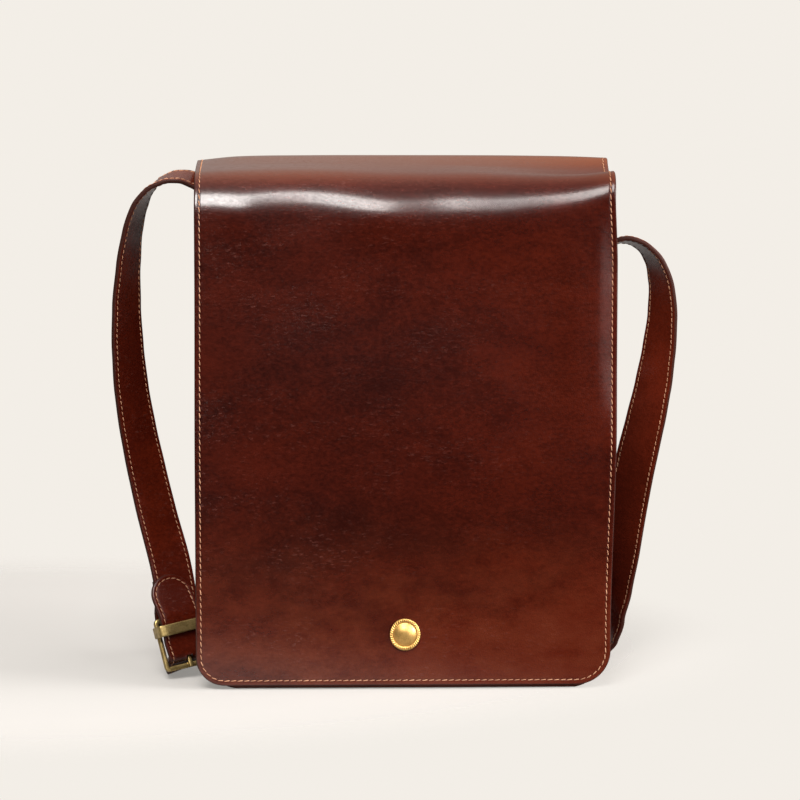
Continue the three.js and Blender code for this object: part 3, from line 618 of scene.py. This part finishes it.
def strap_line(rows, steps=24):
    """A smooth line through the rows, with directions along it, across the strap and out of its face.

    Centripetal Catmull-Rom: the knots are the square roots of the distances between points, and the tangents
    come from the two neighbouring spans of each point. The width eases from one row's direction to the next.
    """
    at = np.concatenate([r[0] for r in rows])
    width = np.concatenate([r[1] for r in rows])
    p = np.concatenate([2 * at[:1] - at[1:2], at, 2 * at[-1:] - at[-2:-1]])
    d = np.sqrt(np.linalg.norm(np.diff(p, axis=0), axis=1))[:, None]
    d0, d1, d2 = d[:-2], d[1:-1], d[2:]
    p0, p1, p2, p3 = p[:-3], p[1:-2], p[2:-1], p[3:]
    leave = ((p1 - p0) / d0 - (p2 - p0) / (d0 + d1) + (p2 - p1) / d1) * d1
    arrive = ((p2 - p1) / d1 - (p3 - p1) / (d1 + d2) + (p3 - p2) / d2) * d1
    t = np.linspace(0, 1, steps, endpoint=False)[None, :, None]
    rise = 3 * t**2 - 2 * t**3
    line = (
        p1[:, None] * (1 - rise) + p2[:, None] * rise
        + (t - 2 * t**2 + t**3) * leave[:, None] + (t**3 - t**2) * arrive[:, None]
    )
    line = np.concatenate([line.reshape(-1, 3), at[-1:]])
    across = width[:-1, None] * (1 - rise) + width[1:, None] * rise
    across = np.concatenate([across.reshape(-1, 3), width[-1:]])
    ahead = unit(np.gradient(line, axis=0))
    across = unit(across - ahead * (across * ahead).sum(-1, keepdims=True))
    gone = np.concatenate([[0], np.cumsum(np.linalg.norm(np.diff(line, axis=0), axis=1))])
    return {"gone": gone, "at": line, "across": across, "out": np.cross(ahead, across)}


def on_strap(strap, along, across, height):
    """Points at distances along, across and above a strap's middle, with its outward directions there."""
    read = {
        k: np.stack([np.interp(along, strap["gone"], strap[k][:, i]) for i in range(3)], -1)
        for k in ("at", "across", "out")
    }
    out = unit(read["out"])
    return read["at"] + unit(read["across"]) * across[..., None] + out * np.asarray(height)[..., None], out


def strap_shell(strap, round_tip, open_between=None):
    """A flat strap along its line: an even width, or a half-round first end of the strap's own radius.

    open_between gives the distances along it between which a narrow slot is left open at its middle.
    """
    total = strap["gone"][-1]
    tip = STRAP_HALF * (1 - np.cos(np.linspace(0.05, np.pi / 2, 26))) if round_tip else FINE
    run = np.arange(tip[-1] + STRAP_SPACING, total - FINE[-1], STRAP_SPACING)
    along = np.concatenate([tip, run, total - FINE[::-1]])
    half = np.full(along.size, STRAP_HALF)
    if round_tip:
        half = STRAP_HALF * np.sqrt(1 - np.maximum(1 - along / STRAP_HALF, 0) ** 2)
    side = np.concatenate([FINE[FINE < 9], [10.5, STRAP_HALF - 2.2, STRAP_HALF - 0.8]]) - STRAP_HALF
    side = np.concatenate([side, -side[::-1]]) / STRAP_HALF
    a, share = np.meshgrid(along, side, indexing="ij")
    across = share * half[:, None]
    face, out = on_strap(strap, a, across, np.full(a.shape, STRAP_THICK / 2))
    inset = np.minimum(STRAP_HALF - np.abs(across), total - a)
    if round_tip:
        inset = np.where(a < STRAP_HALF, STRAP_HALF - np.hypot(across, STRAP_HALF - a), inset)
    else:
        inset = np.minimum(inset, a)
    inset = np.maximum(inset, 0)
    slot = None
    if open_between is not None:
        first, last = np.searchsorted(along, open_between)
        middle = side.size // 2
        slot = (first, last, middle - 2, middle + 1)
    pressed = seam_groove(inset, STRAP_SEAM, 0.22)
    return leather_shell(face, out, inset, STRAP_THICK, 1.1, pressed, slot)


def strap_stitches(strap, round_tip):
    """Thread on both faces along the strap's edges, round its tip where it has one, and across its lap."""
    total = strap["gone"][-1]
    reach = STRAP_HALF - STRAP_SEAM
    straight = np.arange(STRAP_HALF if round_tip else 4.0, total - SEWN_END, 1.5)
    edge = np.full(straight.size, reach)
    if round_tip:
        turn = np.linspace(-np.pi / 2, np.pi / 2, 40)[1:-1]
        along = np.concatenate([straight[::-1], STRAP_HALF - reach * np.cos(turn), straight])
        lines = [(along, np.concatenate([-edge, reach * np.sin(turn), edge]))]
    else:
        lines = [(straight, -edge), (straight, edge)]
    cross = np.linspace(-reach, reach, 20)
    lines += [(np.full(cross.size, total - from_end), cross) for from_end in (SEWN_END, SEWN_START)]
    made = []
    for along, across in lines:
        for way in (1, -1):
            path, out = on_strap(strap, along, across, np.full(along.size, way * (STRAP_THICK / 2 - 0.18)))
            made.append(stitches(path, out * way, STRAP_PITCH))
    return joined(made)


def reversed_rows(rows):
    """The same rows in the opposite order."""
    return {k: v[::-1] for k, v in rows.items()}


BAR_ANGLE = np.linspace(0, np.pi, 7)
BAR_LINE = {
    "across": 0 * BAR_ANGLE,
    "along": PIVOT_ALONG - BAR_TURN * np.sin(BAR_ANGLE),
    "out": -BAR_TURN * np.cos(BAR_ANGLE),
}
LEFT_STRAP = strap_line([
    buckle_rows(reversed_rows(LEFT_BEHIND_BAR)),
    buckle_rows(BAR_LINE),
    buckle_rows(reversed_rows(LEFT_TO_BAR)),
    route_rows(reversed_rows(LEFT_ROUTE)),
    lap_rows(-1),
])
RIGHT_STRAP = strap_line([buckle_rows(RIGHT_TO_BAR), route_rows(RIGHT_ROUTE), lap_rows(1)])


# The pocket

def wall_grid(face, top, way, swell_by):
    """Outer face of a pocket wall: a plane that swells outward, with the strip's round lower corners."""
    z = GAP + mirrored_lines(top - GAP, 5.0)
    share = mirrored_lines(2 * BODY_HALF, 5.0) / (2 * BODY_HALF)
    into = np.maximum(BODY_CORNER - z, 0)
    half = BODY_HALF - BODY_CORNER + np.sqrt(BODY_CORNER**2 - into**2)
    x = half[:, None] * (2 * share - 1)
    zz = np.broadcast_to(z[:, None], x.shape)
    grid = np.stack([x, face + way * swell_by * swell(x, zz), zz], -1)
    side, low = BODY_HALF - np.abs(x), zz - GAP
    inset = round_corner(np.minimum(np.minimum(side, low), top - zz), side, low, BODY_CORNER)
    return grid, outward(grid, np.array([0.0, way, 0.0])), zero_at_outline(inset)


def foot_path(margin, down, turn, low):
    """X and Z of a line at a margin inside the outline: down the left, round the foot and up the right."""
    r, corner = BODY_CORNER - margin, BODY_HALF - BODY_CORNER
    edge = np.full(down.size, BODY_HALF - margin)
    x = np.concatenate([-edge, -corner - r * np.cos(turn), low, corner + r * np.sin(turn), edge])
    z = np.concatenate([
        down, BODY_CORNER - r * np.sin(turn), 0 * low + margin, BODY_CORNER - r * np.cos(turn), down[::-1],
    ])
    return x, z


def wall_seam(face, top, way, swell_by):
    """Seam line of a wall, at one distance from its edge."""
    turn = np.linspace(0, np.pi / 2, 12)
    down = np.linspace(top - 4, BODY_CORNER, 60)[:-1]
    low = np.linspace(BODY_CORNER - BODY_HALF, BODY_HALF - BODY_CORNER, 50)[1:-1]
    x, z = foot_path(WALL_SEAM, down, turn, low)
    y = face + way * (swell_by * swell(x, z) - 0.15)
    return np.stack([x, y, z], -1), np.broadcast_to([0.0, float(way), 0.0], (x.size, 3))


def strip_grid():
    """The side and bottom strip: a channel with turned-in margins, carried round the pocket's foot.

    Across the strip the web folds in by the fold at that height times one minus a smooth step of the distance
    from its flat middle. Its corners are quarter circles.
    """
    front, back = FRONT_FACE + WALL + GAP, BACK_FACE - WALL - GAP
    down = np.concatenate([STRIP_TOP - FINE, np.linspace(STRIP_TOP - 12, BODY_CORNER, 60)])
    turn = np.linspace(0, np.pi / 2, 13)[1:-1]
    low = np.linspace(BODY_CORNER - BODY_HALF, BODY_HALF - BODY_CORNER, 40)
    x, z = foot_path(0, down, turn, low)
    dx = np.concatenate([-np.ones(down.size), -np.cos(turn), 0 * low, np.sin(turn), np.ones(down.size)])
    dz = np.concatenate([np.zeros(down.size), -np.sin(turn), 0 * low - 1, -np.cos(turn), np.zeros(down.size)])
    r = STRIP_BEND
    corner = np.linspace(0, np.pi / 2, 6)
    web = np.linspace(front + r, back - r, 40)[1:-1]
    margin = np.linspace(STRIP_MARGIN, r, 5)[:-1]
    y = np.concatenate([
        0 * margin + front, front + r - r * np.cos(corner),
        web, back - r + r * np.sin(corner), 0 * margin + back,
    ])
    drop = np.concatenate([margin, r - r * np.sin(corner), 0 * web, r - r * np.cos(corner), margin[::-1]])
    middle, half = (front + back) / 2, (back - front) / 2
    slant = 1 - ease(STRIP_FLAT, half, np.abs(y - middle))
    fold = smooth_at(SIDE_FOLD, "z", "fold", z)
    depth = -drop - fold[:, None] * slant
    grid = np.stack([
        x[:, None] + dx[:, None] * depth, np.broadcast_to(y, depth.shape), z[:, None] + dz[:, None] * depth,
    ], -1)
    cut = np.cumsum(np.hypot(np.diff(y, prepend=y[0]), np.diff(drop, prepend=drop[0])))
    cut = np.minimum(cut, FAR_FROM_CUT)
    far = np.full(x.size - 2 * down.size, FAR_FROM_CUT)
    ends = np.concatenate([STRIP_TOP - down, far, (STRIP_TOP - down)[::-1]])
    inset = np.minimum(np.minimum(cut, cut[::-1])[None], ends[:, None])
    return grid, outward(grid, np.array([0.0, 0.0, -1.0])), inset


# The brass

def carried(path, side, out, profile, closed, scale=None):
    """A closed profile, as distances to the side and out, carried along a path at a scale."""
    size = np.ones(len(path)) if scale is None else scale
    rings = (
        path[:, None]
        + side[:, None] * (profile[None, :, 0:1] * size[:, None, None])
        + out[:, None] * (profile[None, :, 1:2] * size[:, None, None])
    )
    return tube(rings, closed=closed)


def pillow(half_a, half_b, power, count):
    """A rounded-rectangle profile: a superellipse |a|^p + |b|^p = 1."""
    t = np.linspace(0, 2 * np.pi, count, endpoint=False)
    turned = np.stack([np.cos(t), np.sin(t)], -1)
    return np.array([half_a, half_b]) * np.sign(turned) * np.abs(turned) ** (2 / power)


def ring_path(half_width, half_height, radius, steps):
    """A rounded rectangle in the buckle's plane and its outward directions, as distances across and along."""
    turn = np.linspace(0, np.pi / 2, steps)
    cx = np.array([1, -1, -1, 1]) * (half_width - radius)
    cy = np.array([1, 1, -1, -1]) * (half_height - radius)
    angle = turn[None] + np.arange(4)[:, None] * np.pi / 2
    across = (cx[:, None] + radius * np.cos(angle)).reshape(-1)
    along = (cy[:, None] + radius * np.sin(angle)).reshape(-1)
    return across, along, np.cos(angle).reshape(-1), np.sin(angle).reshape(-1)


def buckle_frame():
    """The buckle's frame, a pillow profile round a rounded rectangle, and its keeper.

    The keeper is a flat bar bent over the rails with quarter circles at its two corners.
    """
    across, along, ox, oy = ring_path(FRAME_HALF, PIVOT_ALONG, FRAME_CORNER, 8)
    path = on_buckle(across, along, 0.0)
    away = ox[:, None] * ACROSS + oy[:, None] * ALONG
    bar = np.abs(oy)[:, None] * 0.15
    out = np.broadcast_to(OUT, path.shape)
    ring = carried(path, away * (1 + bar), out, pillow(RAIL_HALF, RAIL_DEEP, 4.0, 24), closed=True)
    r, top, edge = KEEPER_BEND, KEEPER_TOP, KEEPER_EDGE
    turn = np.linspace(0, np.pi / 2, 8)
    leg = np.array([-RAIL_HALF, -RAIL_HALF, 3.0, 6.5])
    span = np.linspace(r - edge, edge - r, 12)[1:-1]
    x = np.concatenate([
        0 * leg - edge, r - edge - r * np.cos(turn), span, edge - r + r * np.sin(turn), 0 * leg + edge,
    ])
    y = np.concatenate([
        leg, top - r + r * np.sin(turn), 0 * span + top, top - r + r * np.cos(turn), leg[::-1],
    ])
    nx = np.concatenate([0 * leg - 1, -np.cos(turn), 0 * span, np.sin(turn), 0 * leg + 1])
    ny = np.concatenate([0 * leg, np.sin(turn), 0 * span + 1, np.cos(turn), 0 * leg])
    path = on_buckle(x, KEEPER_AT, y)
    away = nx[:, None] * ACROSS + ny[:, None] * OUT
    scale = np.ones(x.size)
    scale[[0, -1]] = 0
    side = np.broadcast_to(ALONG, path.shape)
    keeper = carried(path, side, away, pillow(KEEPER_HALF, KEEPER_THIN, 7, 28), closed=False, scale=scale)
    return joined([ring, keeper])


def buckle_tongue():
    """The prong: a ring round the pivot bar, and a straight bar that leans out over the end bar."""
    turn = np.linspace(0, 2 * np.pi, 40, endpoint=False)
    away = np.cos(turn)[:, None] * ALONG + np.sin(turn)[:, None] * OUT
    path = on_buckle(0.0, PIVOT_ALONG, 0.0) + PRONG_RING * away
    side = np.broadcast_to(ACROSS, path.shape)
    ring = carried(path, side, away, pillow(1.3, PRONG_THIN, 3.0, 16), closed=True)
    lean = math.radians(PRONG_LEAN)
    gone = np.concatenate([[PRONG_START] * 2, np.linspace(3.8, 35, 20), [35.9], [PRONG_END] * 2])
    path = on_buckle(0.0, PIVOT_ALONG - gone * math.cos(lean), gone * math.sin(lean))
    away = np.broadcast_to(OUT * math.cos(lean) + ALONG * math.sin(lean), path.shape)
    size = np.interp(gone, [PRONG_START, 29, 34, PRONG_END], [1, 1, 1.15, 1.0])
    size[[0, -1]] = 0
    profile = pillow(PRONG_HALF, PRONG_THIN, 4.0, 16)
    bar = carried(path, side[:1] + 0 * path, away, profile, closed=False, scale=size)
    return joined([ring, bar])


def oval_stud():
    """A domed oval head with a roped rim, a post and a back disc: a profile turned about the stud's axis.

    The dome falls with the power 2.4 of the radius. The rim is a half ring whose height swings with the angle
    and the radius, so that its turns slant as a rope's do.
    """
    seat, behind = GAP, -FLAP_THICK - GAP
    dome = np.linspace(DOME_RADIUS, 0, 18)
    rim = np.linspace(RIM_OUTER, RIM_INNER, 13)
    post = np.array([0, DISC_RADIUS, DISC_RADIUS, POST_RADIUS, POST_RADIUS, RIM_OUTER - 0.2, RIM_OUTER])
    radius = np.concatenate([post, rim, dome])
    height = np.concatenate([
        [behind - DISC_THICK] * 2, [behind] * 2, [seat] * 2, [seat + 0.3],
        seat + 0.9 + 1.1 * np.sqrt(np.maximum(1 - ((rim - RIM_MIDDLE) / 1.31) ** 2, 0)),
        seat + 1.0 + DOME_RISE * (1 - (dome / DOME_RADIUS) ** 2.4),
    ])
    angle = np.linspace(0, 2 * np.pi, 256, endpoint=False)
    on_rim = np.concatenate([0 * post, np.sin(np.pi * np.linspace(0, 1, rim.size)), 0 * dome])
    wave = np.cos(ROPE_TURNS * angle[None] + 1.6 * (radius[:, None] - RIM_MIDDLE))
    lift = height[:, None] - ROPE_DEPTH * on_rim[:, None] * (1 - wave)
    x = STUD_NARROW * radius[:, None] * np.cos(angle)
    z = STUD_AT + radius[:, None] * np.sin(angle)
    seat_y = flap_front(np.array(0.0), np.array(STUD_AT))
    return tube(np.stack([x, seat_y - lift, z], -1))


# Finishes

class Value:
    """A socket's value. Arithmetic on values and numbers adds Math nodes to the finish."""

    def __init__(self, finish, socket):
        self.finish, self.socket = finish, socket

    def math(self, operation, *terms):
        return self.finish.node("Math", {"operation": operation}, dict(enumerate(terms)))

    def __add__(self, other):
        return self.math("ADD", self, other)

    def __sub__(self, other):
        return self.math("SUBTRACT", self, other)

    def __rsub__(self, other):
        return self.math("SUBTRACT", other, self)

    def __mul__(self, other):
        return self.math("MULTIPLY", self, other)

    __radd__, __rmul__ = __add__, __mul__

    def between(self, low, high):
        """Smooth step of the value from low to high, 0 to 1."""
        sockets = {"Value": self, "From Min": low, "From Max": high}
        return self.finish.node("MapRange", {"interpolation_type": "SMOOTHSTEP"}, sockets)


class Finish:
    """The node tree of a material or a world."""

    def __init__(self, owner):
        owner.use_nodes = True
        self.owner, self.tree = owner, owner.node_tree
        self.tree.nodes.clear()

    def node(self, kind, settings, sockets, output=0):
        """A node of a kind: its settings are set first, then its sockets' values or links."""
        made = self.tree.nodes.new("ShaderNode" + kind)
        for name, value in settings.items():
            setattr(made, name, value)
        for name, value in sockets.items():
            if isinstance(value, Value):
                self.tree.links.new(value.socket, made.inputs[name])
            else:
                made.inputs[name].default_value = value
        return Value(self, made.outputs[output]) if made.outputs else None

    def axis(self, place, name):
        return self.node("SeparateXYZ", {}, {0: place}, name)

    def noise(self, place, scale, detail=2.0, rough=0.5):
        sockets = {"Vector": place, "Scale": scale, "Detail": detail, "Roughness": rough}
        return self.node("TexNoise", {}, sockets)

    def mix(self, share, first, second):
        return self.node("Mix", {"data_type": "RGBA"}, {"Factor": share, 6: first, 7: second}, output=2)

    def stretched(self, place, scale):
        return self.node("Mapping", {}, {"Vector": place, "Scale": scale})

    def bump(self, height, strength, distance):
        return self.node("Bump", {}, {"Height": height, "Strength": strength, "Distance": distance})

    def surface(self, sockets):
        shader = self.node("BsdfPrincipled", {}, sockets)
        self.node("OutputMaterial", {}, {"Surface": shader})
        return self.owner


def colour(red, green, blue):
    """A colour with full alpha."""
    return (red, green, blue, 1.0)


EDGE_TONE = colour(0.03, 0.009, 0.006)
# Painted sheen: a paler warm tone laid over the top of the leather.
TOP_SHEEN_TONE = colour(0.27, 0.1, 0.045)
# Painted reflection of the floor: a lighter, browner tone near the foot.
FLOOR_REFLECTION_TONE = colour(0.1, 0.021, 0.0085)
# Painted glints: pale specks on the crease tops.
GLINT_TONE = colour(0.13, 0.05, 0.04)


def leather(name, deep, warm, gloss, coat, foot=0.0, lean=1.0):
    """Waxed grain leather: clouded colour, fine pores, level creases that come and go, a dark burnished edge.

    The creases are deeper towards the left of the bag, and the wax is thicker there by its lean; painted
    glints lighten the crease tops there. The colour is lighter over the top, a painted sheen, near the foot
    by its own share, a painted reflection of the floor, and towards the right, painted light.
    """
    f = Finish(bpy.data.materials.new(name))
    place = f.node("TexCoord", {}, {}, "Object")
    left = f.axis(place, "X") * -3.0 + 0.5
    z = f.axis(place, "Z")
    # Share of the painted reflection of the floor, strongest near the foot.
    low = (1 - z.between(0.0, 0.15)) * foot
    # Painted sheen over the top, the painted floor reflection near the foot, and painted light towards the
    # right.
    painted_sheen_and_light = z.between(0.345, 0.366) * 1.2 + low * 0.7 + (0.5 - left) * 0.3
    wide = f.stretched(place, (0.6, 1.0, 1.0))
    cloud = f.noise(f.stretched(place, (0.55, 1.0, 1.0)), 12.0, 4.0, 0.6)
    mottle = f.noise(wide, 60.0, 6.0, 0.7)
    grain = f.noise(wide, 520.0, 3.0, 0.6)
    rim = f.node("Attribute", {"attribute_name": "rim"}, {}, "Fac")
    edge = 1 - rim.between(0.1, 0.9)
    tone = (cloud * 0.6 + mottle * 0.25 + grain * 0.35).between(0.44, 0.78)
    base = f.mix(tone * 0.8 + painted_sheen_and_light, colour(*deep), colour(*warm))
    # Painted sheen: the paler warm tone mixed in over the top.
    base = f.mix(z.between(0.35, 0.372) * 0.5, base, TOP_SHEEN_TONE)
    # Painted reflection of the floor: the lighter foot tone, in clouds.
    base = f.mix(low * mottle.between(0.2, 0.8), base, FLOOR_REFLECTION_TONE)
    pores = f.node("TexVoronoi", {}, {"Vector": place, "Scale": 1300.0, "Randomness": 1.0})
    creases = f.noise(f.stretched(place, (0.35, 0.7, 1.0)), 640.0, 4.0, 0.65)
    patches = f.noise(f.stretched(place, (0.5, 1.0, 1.0)), 20.0, 3.0, 0.55).between(0.4, 0.68)
    # Painted glints: pale specks on the crease tops in patches towards the left.
    painted_glints = creases.between(0.56, 0.7) * patches * left
    base = f.mix(painted_glints * 0.5, base, GLINT_TONE)
    base = f.mix(edge, base, EDGE_TONE)
    waves = f.noise(wide, 40.0, 2.0, 0.5)
    fine = f.bump(pores * 0.5 + creases * (0.5 + patches * left * 1.8), 0.8, 0.0003)
    height = f.node("Bump", {}, {"Height": waves, "Strength": 0.25, "Distance": 0.002, "Normal": fine})
    return f.surface({
        "Base Color": base,
        "Roughness": gloss + mottle * 0.14 + edge * 0.25,
        "Coat Weight": coat * (1 - edge) * (0.8 + (left - 0.5) * lean) * (0.45 + grain * 1.1),
        "Coat Roughness": 0.23,
        "Specular IOR Level": 0.1,
        "Normal": height,
    })


def thread(name):
    """Tan waxed thread, each stitch a little lighter or darker."""
    f = Finish(bpy.data.materials.new(name))
    place = f.node("TexCoord", {}, {}, "Object")
    tone = f.node("Attribute", {"attribute_name": "tone"}, {}, "Fac")
    fuzz = f.noise(place, 2400.0, 2.0, 0.6)
    base = f.mix(tone * 0.7 + fuzz * 0.3, colour(0.24, 0.1, 0.05), colour(0.46, 0.235, 0.135))
    return f.surface({
        "Base Color": base,
        "Roughness": 0.55 + fuzz * 0.2,
        "Specular IOR Level": 0.4,
        "Normal": f.bump(fuzz, 0.35, 0.0003),
    })


def brass(name, pale, dark, gloss, tarnish):
    """Brass with brown tarnish in soft patches, fine scratches and small pits."""
    f = Finish(bpy.data.materials.new(name))
    place = f.node("TexCoord", {}, {}, "Object")
    patch = f.noise(place, 190.0, 4.0, 0.65)
    speck = f.noise(place, 900.0, 3.0, 0.6)
    scratch = f.noise(f.stretched(place, (0.12, 0.5, 1.0)), 2200.0, 2.0, 0.5)
    spread = (patch * 0.7 + speck * 0.3).between(0.36, 0.72) * tarnish
    return f.surface({
        "Base Color": f.mix(spread, colour(*pale), colour(*dark)),
        "Metallic": 1.0,
        "Roughness": gloss + patch * 0.16 + speck * 0.06,
        "Normal": f.bump(scratch * 0.6 + speck * 0.4, 0.14, 0.0003),
    })


# foot sets the share of the painted floor reflection near the flap's foot.
FLAP_LEATHER = leather(
    "flap_leather", deep=(0.015, 0.0012, 0.0004), warm=(0.056, 0.0054, 0.0015),
    gloss=0.18, coat=0.98, foot=0.6, lean=0.7,
)
STRAP_LEATHER = leather(
    "strap_leather", deep=(0.044, 0.0042, 0.0013), warm=(0.11, 0.012, 0.0036),
    gloss=0.2, coat=0.64, lean=0.0,
)
POCKET_LEATHER = leather(
    "pocket_leather", deep=(0.055, 0.012, 0.007), warm=(0.09, 0.022, 0.012),
    gloss=0.36, coat=0.1,
)
THREAD = thread("tan_thread")
BUCKLE_BRASS = brass(
    "buckle_brass", pale=(0.5, 0.37, 0.15), dark=(0.16, 0.1, 0.035), gloss=0.3, tarnish=0.85,
)
STUD_BRASS = brass(
    "stud_brass", pale=(0.72, 0.45, 0.15), dark=(0.34, 0.19, 0.05), gloss=0.36, tarnish=0.7,
)


# The pieces

def dress(name, made, material, replaces=(), mark="rim"):
    """Adds a piece that rides on the bag's one body and stands for the named solids."""
    piece = add_piece(name, made[0], made[1], material, **{mark: made[2]})
    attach(piece, "root")
    if replaces:
        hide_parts(*replaces)
    return piece


flap_face, flap_out, flap_inset, flap_gone = flap_grid()
flap = dress(
    "flap_skin",
    leather_shell(flap_face, flap_out, flap_inset, FLAP_THICK, 1.0, seam_groove(flap_inset, FLAP_SEAM)),
    FLAP_LEATHER, ["flap"],
)
flap_lines = flap_seams(flap_face, flap_out, flap_gone)
flap_thread = dress(
    "flap_thread",
    joined([stitches(path - 0.22 * out, out, WIDE_PITCH) for path, out in flap_lines]),
    THREAD, mark="tone",
)

dress(
    "left_strap_skin", strap_shell(LEFT_STRAP, False, LEFT_SLOT),
    STRAP_LEATHER, ["strap_left"],
)
dress(
    "right_strap_skin", strap_shell(RIGHT_STRAP, True, RIGHT_SLOT),
    STRAP_LEATHER, ["strap_right"],
)
dress("left_strap_thread", strap_stitches(LEFT_STRAP, False), THREAD, mark="tone")
dress("right_strap_thread", strap_stitches(RIGHT_STRAP, True), THREAD, mark="tone")

WALLS = {
    "front_wall": (FRONT_FACE, FRONT_TOP, -1, FRONT_SWELL, "front_panel"),
    "back_wall": (BACK_FACE, BACK_TOP, 1, BACK_SWELL, "back_panel"),
}
wall_threads = []
for wall, (face, top, way, swell_by, node) in WALLS.items():
    grid, out, inset = wall_grid(face, top, way, swell_by)
    made = leather_shell(grid, out, inset, WALL, 0.9, seam_groove(inset, WALL_SEAM, 0.2))
    dress(wall, made, POCKET_LEATHER, [node])
    seam_top = top if way < 0 else FLAP_LAP - 2
    wall_threads.append(stitches(*wall_seam(face, seam_top, way, swell_by), WIDE_PITCH))
dress("wall_thread", joined(wall_threads), THREAD, mark="tone")
grid, out, inset = strip_grid()
dress(
    "side_strip", leather_shell(grid, out, inset, STRIP_WALL, 0.9, np.zeros(inset.shape)),
    POCKET_LEATHER, ["gusset"],
)

dress("buckle", buckle_frame(), BUCKLE_BRASS, ["buckle_frame"])
dress("buckle_tongue", buckle_tongue(), BUCKLE_BRASS, ["buckle_prong"])
dress("oval_stud", oval_stud(), STUD_BRASS, ["clasp_stud"])


# Camera, floor and light

def add_camera():
    """A long lens a little above the bag, at the photograph's angle."""
    data = bpy.data.cameras.new("camera")
    data.lens, data.sensor_width = 181.66, 36.0
    data.clip_start, data.clip_end = 0.05, 100.0
    made = bpy.data.objects.new("camera", data)
    turn, rise, reach = math.radians(-1.172), math.radians(8.0), 2.838
    ahead = Vector((-math.sin(turn) * math.cos(rise), math.cos(turn) * math.cos(rise), -math.sin(rise)))
    aim = Vector((-0.0025, 0.0, 0.1973))
    made.location = aim - reach * ahead
    made.rotation_euler = ahead.to_track_quat("-Z", "Y").to_euler()
    bpy.context.scene.collection.objects.link(made)
    bpy.context.scene.camera = made


def add_floor():
    """A pale floor that fades into the backdrop away from the bag."""
    f = Finish(bpy.data.materials.new("pale_floor"))
    place = f.node("TexCoord", {}, {}, "Object")
    sockets = {"Vector": place, "Location": (0.3, -0.17, 0.0), "Scale": (1.0, 1.5, 1.0)}
    moved = f.node("Mapping", {}, sockets)
    far = f.node("VectorMath", {"operation": "LENGTH"}, {0: moved}, "Value")
    grain = f.noise(place, 6.0, 3.0, 0.5)
    base = f.mix(grain, colour(0.48, 0.467, 0.454), colour(0.5, 0.486, 0.472))
    sockets = {"Base Color": base, "Roughness": 0.75, "Specular IOR Level": 0.2}
    shade = f.node("BsdfPrincipled", {}, sockets)
    clear = f.node("BsdfTransparent", {}, {})
    fade = far.between(0.38, 0.58) * 0.7 + 0.3
    f.node("OutputMaterial", {}, {"Surface": f.node("MixShader", {}, {0: fade, 1: shade, 2: clear})})
    line = np.linspace(-3000.0, 3000.0, 61)
    x, y = np.meshgrid(line, line, indexing="ij")
    points = np.stack([x, y, 0 * x], -1).reshape(-1, 3)
    made = add_piece("floor", points, grid_quads(np.arange(x.size).reshape(x.shape)), f.owner)


def add_backdrop():
    """A room with a pale ceiling and back and a dim front, even where the camera looks past the bag."""
    world = bpy.data.worlds.new("room")
    bpy.context.scene.world = world
    f = Finish(world)
    way = f.node("TexCoord", {}, {}, "Generated")
    back, up = f.axis(way, "Y").between(0.1, 0.95), f.axis(way, "Z").between(0.3, 1.0)
    walls = f.mix(back, colour(0.03, 0.028, 0.026), colour(0.36, 0.33, 0.31))
    room = f.mix(up, walls, colour(0.56, 0.53, 0.5))
    seen = f.node("LightPath", {}, {}, "Is Camera Ray")
    shown = f.mix(seen, room, colour(0.896, 0.856, 0.799))
    f.node("OutputWorld", {}, {"Surface": f.node("Background", {}, {"Color": shown})})


def add_softbox(name, at, aim, size, watts):
    """A rectangular soft light of a warm white, aimed at a point."""
    data = bpy.data.lights.new(name, "AREA")
    data.shape, data.size, data.size_y = "RECTANGLE", size[0], size[1]
    data.energy, data.color = watts, (1.0, 0.97, 0.94)
    made = bpy.data.objects.new(name, data)
    made.location = at
    made.rotation_euler = (Vector(aim) - Vector(at)).to_track_quat("-Z", "Y").to_euler()
    bpy.context.scene.collection.objects.link(made)


add_camera()
add_floor()
add_backdrop()
add_softbox("front_light", (-0.6, -2.5, 2.7), (0, 0, 0.25), (1.4, 1.9), 195.0)
add_softbox("right_light", (2.45, -2.3, 1.2), (0, 0, 0.15), (2.3, 1.9), 95.0)
add_softbox("side_light", (3.3, -0.75, 1.25), (0, 0, 0.1), (2.2, 1.2), 225.0)

bpy.context.scene.view_settings.view_transform = "Standard"
